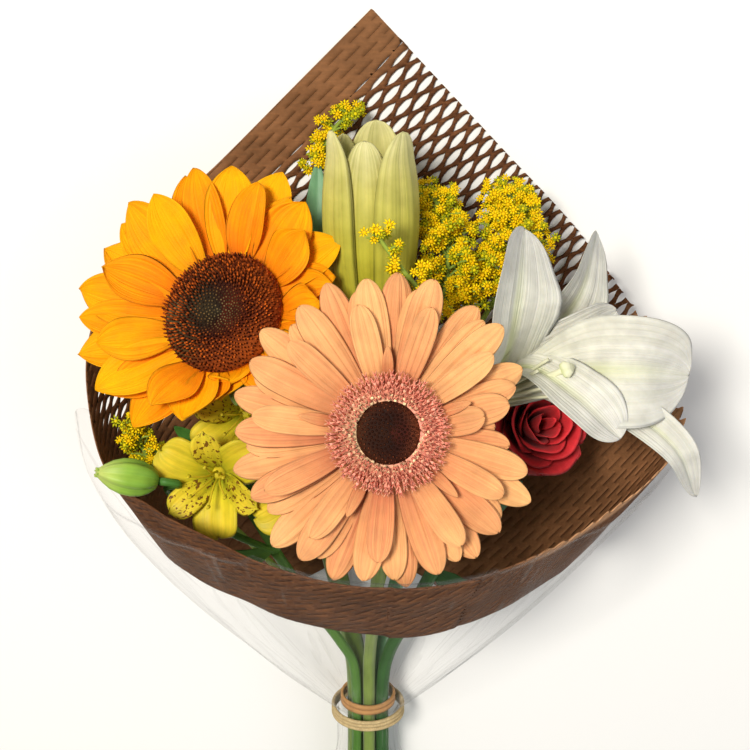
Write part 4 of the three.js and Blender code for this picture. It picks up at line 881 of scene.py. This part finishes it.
def dashed_finish():
    """Yellow-green with brown dashes on the narrow tepals, whose marks carry a shade above 1."""
    mat = grown_finish("alstroemeria_yellow", [(0, 150, 162, 36), (0.4, 210, 194, 40), (0.8, 228, 200, 54),
                                               (1, 204, 186, 48)], (156, 154, 30), 0.4, 7, 0.8,
                       rough=(0.4, 0.55), bump=0.3, glow=0.22)
    tree = mat.node_tree
    mark = fit(tree, "ShaderNodeAttribute", attribute_name="mark").outputs["Vector"]
    streak = streaks(tree, mark, 5.0, 14.0)
    dash = span(tree, streak["Veins"], 0.0, 0.9, 0.74, 0.82)
    narrow = sums(tree, "GREATER_THAN", streak["Shade"], 1.0)
    overlay(mat, sums(tree, "MULTIPLY", dash, narrow), (96, 44, 18))
    return mat


alst_yellow = dashed_finish()
alst_frames = []
for name, at, facing, size, seed in ALSTROEMERIA:
    place = bloom_frame(at, facing)
    alst_frames.append(place)
    flower = Body()
    for k in range(6):
        a = draw(k, seed)
        theta = math.pi * (k + 0.2 * (a - 0.5)) / 3 + seed
        if k % 2 == 0:
            long, wide, tip_rise, ruffle, notch, shade = 1.28, 0.95, 6, 1.1, 1.2, 0.5 * a
        else:
            long, wide, tip_rise, ruffle, notch, shade = 1.2, 0.6, 24, 0.5, -1.2, 1.1 + a
        flower.add(*petal(theta, 2.2, -16, size * long, size * wide, 66, tip_rise, 0.26, 0.68, 3.2, ease=0.8,
                          cup=0.22, twist=8, grooves=0.22, ruffle=ruffle, notch=notch, curl=-24, shade=shade,
                          rows=20, cols=13), place)
    for k in range(6):
        out = outward(FULL_TURN * k / 6 + seed)
        tip = out * 8 + [0, 0, 1 + 2 * draw(k // 2, 34)]
        stamen = [out * 0.8 + [0, 0, -17], out * 3 + [0, 0, -6], tip]
        flower.add(*bar(stamen, 0.5, 0.4, 6, 12, shade=0.3), place)
        flower.add(*bar([tip + [0, 0, -0.6], tip + [0, 0, 1.6]], 0.8, 0.5, 6, 3, shade=0.1), place)
    flower.add(*turned([[0, -20], [2.2, -20], [3.2, -17], [2.4, -13], [1, -12], [0, -12]], 18, ribs=0.08),
               place)
    flower.build("alstroemeria_bloom_" + name, alst_yellow, "alstroemeria_flower",
                 ["alstroemeria_flower_" + name])

# Alstroemeria bud and stem
# One thin green stalk with two narrow leaves. It parts into four arms: three carry the flowers,
# and the fourth ends in a closed ribbed bud.

GREEN_AT, GREEN_TIP = np.array([-79.5, 152.5, 96.3]), np.array([-97.5, 158, 101.8])
ALST_FORK = np.array([-38.0, 106, 66])
ALST_LEAVES = (
    ([(-39, 108, 67), (-54, 103, 68), (-70, 109, 71), (-80, 121, 72)], (-0.2, 0, 1), 13),
    ([(-38, 106, 66), (-46, 130, 66), (-60, 150, 68), (-76, 166, 74)], (0, 0, 1), 14),
)
green_frame = bloom_frame(GREEN_AT, GREEN_TIP - GREEN_AT)
green_bud = Body()
green_bud.add(*turned([[0, 0], [1.6, 0], [3, 0.6], [4.8, 3], [6.1, 6], [6.6, 10], [6.3, 14], [5.0, 18],
                       [3.2, 21], [1.4, 23.4], [0, 24]], 60, ribs=0.1), green_frame)
for k in range(6):
    out = outward(math.pi * k / 3)
    green_bud.add(*bar([out * 1.2 + [0, 0, 22], out * 1.6 + [0, 0, 24.2]], 0.8, 0.3, 6, 3), green_frame)
bud_green = grown_finish("alstroemeria_bud_green", [(0, 96, 138, 44), (0.6, 140, 176, 66),
                                                    (1, 190, 200, 110)],
                         (82, 128, 40), 0.5, 8, 0.8, rough=(0.38, 0.5), bump=0.4, coat=0.08)
green_bud.build("alstroemeria_green_bud", bud_green, "alstroemeria_bud", ["alstroemeria_bud"])
alst_stem = Body()
alst_stem.add(*bar(stem_path("alstroemeria", ALST_FORK, (-24, 70, 48), (-13, 44, 34)), 2.2, 2.5, 14, 70))
for place in alst_frames:
    arm = [ALST_FORK, spot(place, 0, 0, -34), spot(place, 0, 0, -20 - SEAT_GAP)]
    alst_stem.add(*bar(arm, 1.5, 1.5, 12, 24))
alst_stem.add(*bar([ALST_FORK, (-60, 118, 68), (-79, 141, 80), spot(green_frame, 0, 0, -8),
                    spot(green_frame, 0, 0, -SEAT_GAP)], 1.5, 1.6, 12, 24))
for k, (path, face, width) in enumerate(ALST_LEAVES):
    alst_stem.add(*swept_blade(path, face, width, 0.2, 0.5, 1.5, midrib=0.4, ribs=0.1, rib_count=8,
                               shade=0.4 * k))
alst_green = grown_finish("alstroemeria_green", [(0, 92, 132, 50), (1, 74, 124, 52)], (56, 96, 36), 0.5,
                          10, 2, rough=(0.4, 0.55), bump=0.4, coat=0.08)
alst_stem.build("alstroemeria_stalk", alst_green, "alstroemeria_stem", ["alstroemeria_stem"])

# Solidago plumes and stems
# Thin green shoots crowded with tiny yellow star florets, in five plumes. Four plumes grow on the
# branched stem at the right and one on the thin stem at the left.

# Each plume: name, path, shoots along it, reach of a shoot, twigs on a shoot
SPRAYS = (
    ("1", [(26, 196, 52), (31, 216, 56), (32, 232, 48), (27, 250, 30)], 6, 16, 10),
    ("2", [(47, 200, 44), (55, 219, 50), (59, 234, 42), (58, 248, 24)], 6, 18, 11),
    ("3", [(-20, 246, 22), (-19, 260, 18), (-14, 272, 12), (-6, 280, 8)], 4, 10, 6),
    ("4", [(-83, 139, 60), (-88, 147, 65), (-91, 157, 68), (-93, 167, 70)], 4, 9, 6),
    ("5", [(25, 206, 84), (22, 222, 90), (12, 236, 90), (3, 248, 88)], 4, 9, 3),
)
STAR_RAYS, STAR_SIDES, SHOOT_TURN = 8, 6, 2.4
YOUNG_SHARE, LOWEST_STAR = 0.3, 3.0
RAY_FACES = ((0, 2, 4), (2, 3, 4), (3, 1, 4), (1, 0, 4), (0, 5, 2), (2, 5, 3), (3, 5, 1), (1, 5, 0))


def star(at, axis, size, seed):
    """One tiny floret: a ring of kite-shaped rays round a raised middle, on a green foot."""
    z = unit(axis)
    x = unit(np.cross(z, (0.3, 0.5, 0.8)))
    y = np.cross(z, x)
    points, faces, marks = [], [], []
    for k in range(STAR_RAYS):
        a = FULL_TURN * (k + 0.3 * draw(k, seed)) / STAR_RAYS
        out = x * math.cos(a) + y * math.sin(a)
        side = -x * math.sin(a) + y * math.cos(a)
        long = size * (0.85 + 0.3 * draw(k, seed + 1))
        rise = z * long * (0.25 + 0.35 * draw(k, seed + 2)) * 0.7
        mid = at + out * long * 0.55 + rise
        faces += [[len(points) + corner for corner in face] for face in RAY_FACES]
        points += [at + out * size * 0.12, mid + side * size * 0.2, mid - side * size * 0.2,
                   at + out * long + rise, mid + z * size * 0.09, mid - z * size * 0.06]
        marks += [(0.5, 0.3, draw(k, seed))] * 6
    n, sides = len(points), STAR_SIDES
    ring = [x * math.cos(FULL_TURN * j / sides) + y * math.sin(FULL_TURN * j / sides) for j in range(sides)]
    for r, height in ((0.1, -0.75), (0.3, -0.3), (0.3, 0.25)):
        points += [at + size * (r * out + z * height) for out in ring]
        marks += [(0.5, 0.95 if height < 0 else 0.1, 0.5)] * sides
    points += [at - z * size * 0.8, at + z * size * 0.4]
    marks += [(0.5, 0.95, 0.5), (0.5, 0.0, 0.5)]
    foot, crown = n + 3 * sides, n + 3 * sides + 1
    for j in range(sides):
        m = (j + 1) % sides
        for low in (n, n + sides):
            faces += [(low + j, low + m, low + sides + m), (low + j, low + sides + m, low + sides + j)]
        faces += [(foot, n + m, n + j), (crown, n + 2 * sides + j, n + 2 * sides + m)]
    return np.array(points), np.array(faces), np.array(marks)


def star_finish():
    """Yellow rays and middle, green foot."""
    mat, tree, mark = blank_finish("solidago_yellow")
    _, across, shade = fit(tree, "ShaderNodeSeparateXYZ", {0: mark}).outputs
    patch = patches(tree, 0.003)
    colour = ramp(tree, across, [(0, 240, 180, 0), (0.35, 250, 216, 6), (0.6, 196, 188, 18),
                                 (0.85, 124, 148, 26), (1, 84, 116, 24)])
    colour = tint(tree, sums(tree, "MULTIPLY", shade, 0.4), colour, (206, 190, 8))
    lay(tree, dimmed(tree, colour, patch, 0.9, 1.12), patch, (0.6, 0.8), patch, 0.3, 0.0002, PETAL_SHINE)
    return mat


star_yellow = star_finish()
shoot_green = grown_finish("solidago_green", [(0, 136, 158, 66), (1, 150, 168, 60)], (104, 130, 46), 0.4,
                           6, 6, rough=(0.5, 0.7), bump=0.3)
for n, (name, path, shoots, reach, crowd) in enumerate(SPRAYS):
    seed = 41 + n
    line = Path(path)
    spray, green = Body(), Body()
    green.add(*bar(line, 1.1, 0.8, 8, 24))
    for k in range(shoots * crowd):
        s = min((k / crowd + 0.8) / shoots, 1.0)
        root, along = line.at(s * 0.94), line.along(s * 0.94)
        turn_by = k * SHOOT_TURN + draw(k, seed) * 0.8
        off = unit((math.cos(turn_by), 0.15, 0.75 * math.sin(turn_by)))
        long = reach * (1 - 0.45 * s) * (0.8 + 0.4 * draw(k, seed + 9))
        twig = Path([root, root + off * long * 0.5 + along * long * 0.3,
                     root + off * long + along * long * 0.35])
        green.add(*bar(twig, 0.6, 0.35, 6, 8))
        count = max(3, round(long / 1.6))
        for i in range(1, count + 1):
            jig = np.array([4.4 * (draw(i + 20 * k, seed + q) - 0.5) for q in (1, 2, 3)])
            at = twig.at(mix(0.3, 1.0, i / count)) + jig
            at[2] = max(at[2], LOWEST_STAR)
            axis = unit(off * 0.3 + along * 0.2 + jig * 0.15 + [0, 0.35, 0.9])
            points, faces, marks = star(at, axis, 1.9 + 0.9 * draw(i, seed + k), i * 3 + k)
            young = draw(i + 7 * k, seed + 3) < YOUNG_SHARE
            marks[:, 1] = np.minimum(1, marks[:, 1] + 0.45 * young)
            spray.add(points, faces, marks)
    spray.build("solidago_florets_" + name, star_yellow, "solidago_florets", ["solidago_spray_" + name])
    green.build("solidago_shoots_" + name, shoot_green, "solidago_stem")

RIGHT_FORK = np.array([24.0, 150, 36])


def lead(n, back):
    """Last two points of the stem that carries plume n, in line with the plume's first stretch."""
    first, second = (np.array(p, float) for p in SPRAYS[n][1][:2])
    step = unit(second - first)
    return [first - step * back, first - step * SEAT_GAP]


right = Body()
right.add(*bar(stem_path("solidago_right", RIGHT_FORK, (12, 90, 18), (4, 50, 10)), 1.9, 2, 12, 70))
for arm, r0, r1 in ((lead(0, 14), 1.6, 1.2), (lead(1, 14), 1.6, 1.2),
                    ([(30, 180, 62), *lead(4, 8)], 1.3, 1.1),
                    ([(6, 180, 24), (-10, 210, 17), *lead(2, 8)], 1.3, 1.1)):
    right.add(*bar([RIGHT_FORK, *arm], r0, r1, 10, 24))
right.build("solidago_stalk_right", shoot_green, "solidago_stem", ["solidago_stem_right"])
left = Body()
left_route = stem_path("solidago_left", lead(3, 0.4)[1], (-66, 116, 46), (-34, 66, 22), (-12, 34, 10))
left.add(*bar(left_route, 1.3, 1.75, 12, 70))
left.build("solidago_stalk_left", shoot_green, "solidago_stem", ["solidago_stem_left"])

# Elastic band
# A flat tan rubber band wound twice round the stems just above the neck, inside the paper. Its
# own pull holds it.

BAND_Y, BAND_RADIUS, BAND_HALF_PITCH, BAND_SIDES, BAND_WOBBLE = 3, 11.7, 1.25, 96, 0.05
BAND_SECTION = ((-1.1, 0.1), (1.1, 0.1), (1.2, 0.6), (1.0, 1.3), (0, 1.45), (-1.0, 1.3), (-1.2, 0.6))


def ring_quads(rows, sides):
    """Faces of a closed ring of points, joined both round and across."""
    index = np.arange(rows * sides).reshape(rows, sides)
    index = np.concatenate([index, index[:1]], 0)
    return grid_quads(np.concatenate([index, index[:, :1]], 1))


band = Body()
a = ring_angles(BAND_SIDES)
for n, shift in enumerate((-BAND_HALF_PITCH, BAND_HALF_PITCH)):
    points = []
    for along, out in BAND_SECTION:
        r = BAND_RADIUS + out + BAND_WOBBLE * np.sin(5 * a + n)
        y = np.full(BAND_SIDES, BAND_Y + shift + along) + BAND_WOBBLE * np.sin(3 * a + n)
        points.append(np.stack([r * np.cos(a), y, NECK_Z + r * np.sin(a)], -1))
    rows = len(BAND_SECTION)
    marks = np.stack(np.broadcast_arrays(np.arange(BAND_SIDES) / BAND_SIDES,
                                         np.linspace(-1, 1, rows)[:, None], 0.5), -1)
    band.add(np.concatenate(points), ring_quads(rows, BAND_SIDES), marks.reshape(-1, 3))
rubber = grown_finish("band_rubber", [(0, 190, 140, 86), (1, 196, 146, 90)], (160, 112, 66), 0.3, 3, 40,
                      patch=0.004, rough=(0.5, 0.7), bump=0.15, depth=0.0002)
band.build("rubber_band", rubber, "elastic_band", ["stem_band"])

# Kraft honeycomb wrap
# One square sheet of slit kraft paper rolled into a cone round the stems, its corner up at the back.
# Where it is pulled, the slits open into six-sided cells; in front it is pressed flat and they stay shut.

WRAP_RISE = math.radians(21.5)
RIM = Path([
    (2, 320, 0), (31, 290, 0), (60, 260, 0), (89, 230, 1), (108, 206, 12), (121, 187, 30), (128, 170, 50),
    (124, 158, 74), (111, 154, 95), (90, 148, 116), (64, 140, 131), (38, 134, 140), (12, 132, 143),
    (-14, 133, 140), (-36, 136, 133), (-58, 141, 121), (-80, 145, 106), (-101, 152, 88), (-112, 175, 64),
    (-115, 192, 40), (-110, 208, 18), (-92, 231, 3), (-64, 256, 0), (-31, 288, 0), (2, 320, 0)])
PEAK = np.array([2.0, 320.0])
NECK_RADIUS = 12.9
TABLE_CLEAR = 1.1


def around(p):
    """Angle round the bundle at which a rim point lies."""
    rise = (p[..., 2] - (NECK_Z + p[..., 1] * math.tan(WRAP_RISE))) * math.cos(WRAP_RISE)
    return np.arctan2(rise, p[..., 0])


def wrap_point(u, t, floor):
    """Point of the cone at share u round the rim and share t from the neck to the rim."""
    rim = RIM.at(np.mod(u, 1))
    psi = around(rim)
    c, s = np.cos(psi), np.sin(psi)
    pleat = 1 + 0.025 * np.cos(9 * psi) * (1 - np.clip(t, 0, 1)) ** 3
    start = np.stack([NECK_RADIUS * pleat * c, 0 * c, NECK_Z + NECK_RADIUS * pleat * s], -1)
    p = start + (rim - start) * t[..., None]
    hump = 4 * t * (1 - t)
    p[..., 0] += hump * np.where(c < 0, -12 * np.abs(c) ** 1.4, 7 * np.abs(c) ** 1.4)
    p[..., 2] += hump * np.where(s < 0, 16 * s, 2 * s)
    p[..., 2] = np.maximum(p[..., 2], floor(p[..., 1]))
    return p


def wrap_outward(u, t, floor):
    du = wrap_point(u + 0.004, t, floor) - wrap_point(u - 0.004, t, floor)
    dt = wrap_point(u, np.minimum(t + 0.01, 1.02), floor) - wrap_point(u, np.maximum(t - 0.01, 0), floor)
    return unit(np.cross(dt, du))


def paper_floor(y):
    return TABLE_CLEAR * (1 - smooth(148, 172, y))


def low_edge(psi):
    """Where the sheet ends towards the neck: high in front, low at the back."""
    return mix(0.24, 0.71, smooth(-0.55, 0.1, np.sin(psi)))


neck = np.array([0, 0, NECK_Z])
u_line = np.linspace(0, 1, 1441)
rim_line = RIM.at(u_line) - neck
reach_line = np.linalg.norm(rim_line, axis=1)
steps = np.arccos(np.clip(np.sum(unit(rim_line[1:]) * unit(rim_line[:-1]), 1), -1, 1))
turn_line = np.concatenate([[0], np.cumsum(steps)])
FRONT_SHARE, OVERLAP = 0.5, 0.16
whole_turn = float(turn_line[-1])
turn_high = float(np.interp(FRONT_SHARE, u_line, turn_line))
turn_low = turn_high - whole_turn - OVERLAP
CELL_PITCH, CELL_ROW, CELL_STEPS = 12.6, 3.7, 10
HALF_SLIT, SLIT_OPEN = 0.43 * CELL_PITCH, 1.5
SLIT_CELLS, SLIT_LINES = (-44, 30), (-70, 130)
SLIT = np.array([math.sqrt(0.5), math.sqrt(0.5)])
ACROSS = np.array([math.sqrt(0.5), -math.sqrt(0.5)])
TORN_TEETH, TORN_DEPTH = 30.0, 0.028
LOWEST_PAPER = 0.3


def sheet_place(flat):
    """Where a point of the flat sheet lies on the cone: its turn, u and t."""
    reach = np.linalg.norm(flat, axis=-1)
    turn = np.arctan2(flat[..., 0], flat[..., 1])
    u = np.interp(np.mod(turn, whole_turn), turn_line, u_line)
    far = np.interp(u, u_line, reach_line)
    return turn, u, (reach - NECK_RADIUS) / (far - NECK_RADIUS)


def openness(flat, u, t):
    """How far the slits are pulled open, from 0 to 1."""
    back = 1 - smooth(-0.55, 0.05, np.sin(around(RIM.at(u))))
    from_left = (flat - PEAK) @ ACROSS
    upper = smooth(158, 196, flat[..., 1] + 0.25 * np.abs(flat[..., 0]))
    return 0.015 + 0.985 * back * upper * smooth(13, 26, from_left) * smooth(-0.02, 0.03, 1.02 - t)


paper = Body()
p_line = np.arange(SLIT_CELLS[0] * CELL_STEPS, SLIT_CELLS[1] * CELL_STEPS + 1) * CELL_PITCH / CELL_STEPS
for row in range(*SLIT_LINES):
    edges = []
    for side in (-1, 1):
        line = row if side > 0 else row - 1
        flat = PEAK + ACROSS * ((line + 0.5) * CELL_ROW) + SLIT * p_line[:, None]
        _, u, t = sheet_place(flat)
        cell = np.abs(np.mod(p_line / CELL_PITCH + 0.5 * (line % 2) + 0.5, 1) - 0.5) * CELL_PITCH
        gap = SLIT_OPEN * openness(flat, u, t) * np.clip((HALF_SLIT - cell) / (0.62 * HALF_SLIT), 0, 1)
        edges.append((flat - side * ACROSS * gap[:, None], side * gap))
    (first, first_gap), (last, last_gap) = edges
    flat = np.stack([first, (first + last) / 2, last], 1)
    tilt = np.stack([first_gap, 0 * first_gap, last_gap], 1) * 0.36
    turn, u, t = sheet_place(flat)
    rim = RIM.at(u)
    psi = around(rim)
    torn = smooth(46, 84, rim[..., 0]) * (1 - smooth(186, 204, rim[..., 1]))
    teeth = 2 * np.abs(np.mod(turn * TORN_TEETH, 1) - 0.5) - 0.5 + 0.5 * np.sin(turn * 13.0) ** 2
    low, edge = low_edge(psi), 1.0 + torn * TORN_DEPTH * teeth
    inside = (t >= low) & (t <= edge) & (turn >= turn_low) & (turn <= turn_high)
    inside &= np.linalg.norm(flat, axis=-1) > 20
    near = np.abs(turn - np.clip(turn, turn_low, turn_high)) < 0.03
    quads = grid_quads(np.arange(turn.size).reshape(-1, 3))
    quads = quads[inside.reshape(-1)[quads].any(1) & near.reshape(-1)[quads].all(1)]
    if not len(quads):
        continue
    t = np.clip(t, low, edge)
    front = smooth(-0.2, 0.3, np.sin(psi))
    crease = (0.5 * np.sin(flat[..., 0] * 0.21 + 1.3 * np.sin(flat[..., 1] * 0.13))
              * (1 - smooth(0.9, 1, t) * 0.4))
    flap = np.where(turn < turn_high - whole_turn, 0.75, 0.0)
    depth = -0.45 + tilt + flap + crease * front * 0.8
    points = wrap_point(u, t, paper_floor) + wrap_outward(u, t, paper_floor) * depth[..., None]
    points[..., 2] = np.maximum(points[..., 2], LOWEST_PAPER)
    marks = np.stack([torn * smooth(0.955, 0.985, t), (1 - openness(flat, u, t)) * (1 - front),
                      np.full(t.shape, draw(row, 71))], -1)
    used, faces = np.unique(quads, return_inverse=True)
    paper.add(points.reshape(-1, 3)[used], faces.reshape(-1, 4), marks.reshape(-1, 3)[used])


def paper_finish():
    """Brown kraft: fibres, soft creases, paler torn edges and a paler tone where the slits are shut."""
    mat, tree, mark = blank_finish("kraft_brown")
    where = fit(tree, "ShaderNodeTexCoord").outputs["Object"]
    stretch = fit(tree, "ShaderNodeMapping", {"Vector": where, "Rotation": (0.0, 0.0, math.radians(45)),
                                              "Scale": (140.0, 900.0, 900.0)})
    fibre = fit(tree, "ShaderNodeTexNoise", {"Vector": stretch.outputs[0], "Scale": 1.0, "Detail": 4.0,
                                             "Roughness": 0.6}).outputs[0]
    patch, specks = patches(tree, 0.022), patches(tree, 0.0016)
    torn_edge, closed, _ = fit(tree, "ShaderNodeSeparateXYZ", {0: mark}).outputs
    colour = ramp(tree, fibre, [(0.3, 62, 34, 18), (0.5, 90, 54, 30), (0.7, 124, 80, 48)])
    colour = tint(tree, 0.3, colour, ramp(tree, specks, [(0, 62, 36, 22), (1, 136, 92, 62)]))
    colour = tint(tree, span(tree, closed, 0.0, 0.5, 0.1, 0.9), colour, (152, 108, 72))
    colour = tint(tree, torn_edge, colour, (196, 148, 108))
    lay(tree, dimmed(tree, colour, patch, 0.74, 1.14), fibre, (0.72, 0.9), sums(tree, "ADD", fibre, patch),
        0.4, 0.0005, {"Specular IOR Level": 0.1})
    return mat


paper.build("honeycomb_paper", paper_finish(), "kraft_paper", ["kraft_wrap"], weld=0.02, wall=0.45)

# Clear film sleeve
# A cone of clear film outside the paper, gathered at the neck and flared over the stems, with long
# creases from the gather and a stiff cut rim.

FILM_COLS, FILM_ROWS, TAIL_ROWS = 220, 30, 18
FILM_SLACK, FILM_GAP, LOWEST_FILM = 5, 1.7, 0.2
TAIL_Y, TAIL_RADIUS, TAIL_FLAT = (-112, -64, -24, 0), (29, 22, 15, 14.7), (0.8, 0.85, 0.95, 1.0)


def film_floor(y):
    return np.full_like(y, TABLE_CLEAR)


film_u = np.arange(FILM_COLS) / FILM_COLS
psi = around(RIM.at(film_u))
film_top = mix(0.42, 1.0, smooth(-0.75, -0.1, np.sin(psi))) + 0.03 * smooth(0.2, 0.8, np.sin(psi))
rows = []
for y in np.linspace(TAIL_Y[0], -6, TAIL_ROWS):
    r, flat = np.interp(y, TAIL_Y, TAIL_RADIUS), np.interp(y, TAIL_Y, TAIL_FLAT)
    fold = r * (1 + smooth(-10, -60, y) * (0.1 * np.cos(7 * psi) + 0.03 * np.cos(19 * psi + 1)))
    rows.append(np.stack([fold * np.cos(psi), np.full(FILM_COLS, y), NECK_Z + fold * np.sin(psi) * flat], -1))
for i in range(FILM_ROWS + 1):
    t = film_top * (i / FILM_ROWS) ** 1.1
    slack = FILM_SLACK * smooth(0.2, 0.9, -np.cos(psi)) * smooth(0.3, 1, t)
    crinkle = 0.35 * np.sin(23 * psi + 4 * t) * smooth(0.05, 0.3, t)
    crinkle = crinkle + 0.9 * np.sin(5 * psi + 7 * t) * smooth(0.7, 1.0, t)
    off = FILM_GAP + np.sin(np.pi * np.clip(t, 0, 1)) + slack + np.maximum(crinkle, -0.6)
    rows.append(wrap_point(film_u, t, film_floor) + wrap_outward(film_u, t, film_floor) * off[:, None])
rows = np.array(rows)
rows[..., 2] = np.maximum(rows[..., 2], LOWEST_FILM)
index = np.arange(len(rows) * FILM_COLS).reshape(len(rows), FILM_COLS)
index = np.concatenate([index, index[:, :1]], 1)
marks = np.stack(np.broadcast_arrays(np.linspace(0, 1, len(rows))[:, None], np.sin(psi), 0.5), -1)
film = Body()
film.add(rows.reshape(-1, 3), grid_quads(index), marks.reshape(-1, 3))


def film_finish():
    """Clear film, nearly unseen face on; painted dark reflection at the edges, painted sheen on the creases.
    """
    mat, tree, mark = blank_finish("clear_film")
    streak = streaks(tree, mark, 26.0, 5.0)["Veins"]
    patch = patches(tree, 0.03)
    # Painted reflection: where the film is seen at a slant it turns opaque and dark grey. The crease streaks
    # add a little opaque pale grey as painted sheen.
    edge = fit(tree, "ShaderNodeLayerWeight", {"Blend": 0.35}).outputs["Facing"]
    painted_edge_reflection = sums(tree, "POWER", edge, 6.0)
    alpha = sums(tree, "ADD", sums(tree, "MULTIPLY", painted_edge_reflection, 0.5), span(tree, streak, 0.006, 0.07, 0.86, 1.0),
                 use_clamp=True)
    tree.links.new(alpha, tree.nodes["Principled BSDF"].inputs["Alpha"])
    colour = ramp(tree, patch, [(0, 150, 150, 146), (1, 184, 182, 174)])
    lay(tree, tint(tree, painted_edge_reflection, colour, (70, 68, 68)), patch, (0.08, 0.2), streak, 0.35, 0.001, {})
    return mat


film.build("film_cone", film_finish(), "clear_film", ["film_sleeve"], wall=0.3)

# Neck tie
# Natural two-ply cord, wound three times round the sleeve at the neck and pulled tight over the
# paper and the stems.

TIE_Y, TIE_RADIUS, TIE_PITCH, TIE_WINDS = -3, 16.6, 1.95, 3
CORD_RADIUS, CORD_RELIEF, CORD_TWISTS = 0.82, 0.22, 46
TIE_SIDES, TIE_STEPS = 10, 220
tie = Body()
a, b = ring_angles(TIE_STEPS)[:, None], ring_angles(TIE_SIDES)[None]
r = CORD_RADIUS * (1 + CORD_RELIEF * np.abs(np.cos(CORD_TWISTS * a + b + b)))
ring = TIE_RADIUS + r * np.cos(b)
for n in range(TIE_WINDS):
    y = TIE_Y + TIE_PITCH * (n - 1) + r * np.sin(b) + 0.25 * np.sin(a + n)
    points = np.stack([ring * np.cos(a), y, NECK_Z + ring * np.sin(a)], -1)
    marks = np.stack(np.broadcast_arrays(a / FULL_TURN, b / np.pi - 1, 0.2 + 0.3 * n), -1)
    tie.add(points.reshape(-1, 3), ring_quads(TIE_STEPS, TIE_SIDES), marks.reshape(-1, 3))
cord = grown_finish("natural_cord", [(0, 206, 184, 138), (1, 212, 190, 144)], (150, 124, 80), 0.5, 4, 260,
                    patch=0.003, rough=(0.7, 0.9), bump=0.5, depth=0.0003)
tie.build("neck_cord", cord, "tie_cord", ["neck_tie"])

# Floor and lights
# A pale table top and soft light: a lamp above the heads, a wider and weaker one at the right,
# and even light from the room.

FLOOR_HALF, FLOOR_Z = 6, -0.0004
LIT_POINT = (0, 0.1, 0.05)
ROOM_LIGHT = 0.3
floor_mesh = bpy.data.meshes.new("floor")
floor_signs = ((-1, -1), (1, -1), (1, 1), (-1, 1))
floor_points = [(x * FLOOR_HALF, y * FLOOR_HALF, FLOOR_Z) for x, y in floor_signs]
floor_mesh.from_pydata(floor_points, [], [(0, 1, 2, 3)])
floor = bpy.data.objects.new("floor", floor_mesh)
bpy.context.scene.collection.objects.link(floor)
floor_mat = bpy.data.materials.new("pale_floor")
floor_mat.use_nodes = True
floor_mat.node_tree.nodes["Principled BSDF"].inputs["Base Color"].default_value = (0.86, 0.86, 0.85, 1)
floor_mat.node_tree.nodes["Principled BSDF"].inputs["Roughness"].default_value = 0.9
floor_mesh.materials.append(floor_mat)
world = bpy.data.worlds.new("soft_room")
bpy.context.scene.world = world
world.use_nodes = True
world.node_tree.nodes["Background"].inputs["Color"].default_value = (1.0, 1.0, 1.0, 1)
world.node_tree.nodes["Background"].inputs["Strength"].default_value = ROOM_LIGHT


def lamp(name, at, size, watts, colour):
    light = bpy.data.lights.new(name, "AREA")
    light.size, light.energy, light.color = size, watts, colour
    holder = bpy.data.objects.new(name, light)
    bpy.context.scene.collection.objects.link(holder)
    holder.location = at
    aim = np.subtract(LIT_POINT, at)
    yaw, pitch = math.atan2(aim[1], aim[0]), math.acos(np.clip(-aim[2] / np.linalg.norm(aim), -1, 1))
    holder.rotation_euler = (pitch, 0.0, yaw - math.pi / 2)


lamp("key", (-0.4, 0.62, 1.18), 0.32, 19.5, (1.0, 0.95, 0.86))
lamp("fill", (0.9, -0.2, 0.9), 0.9, 4.0, (0.95, 0.97, 1.0))
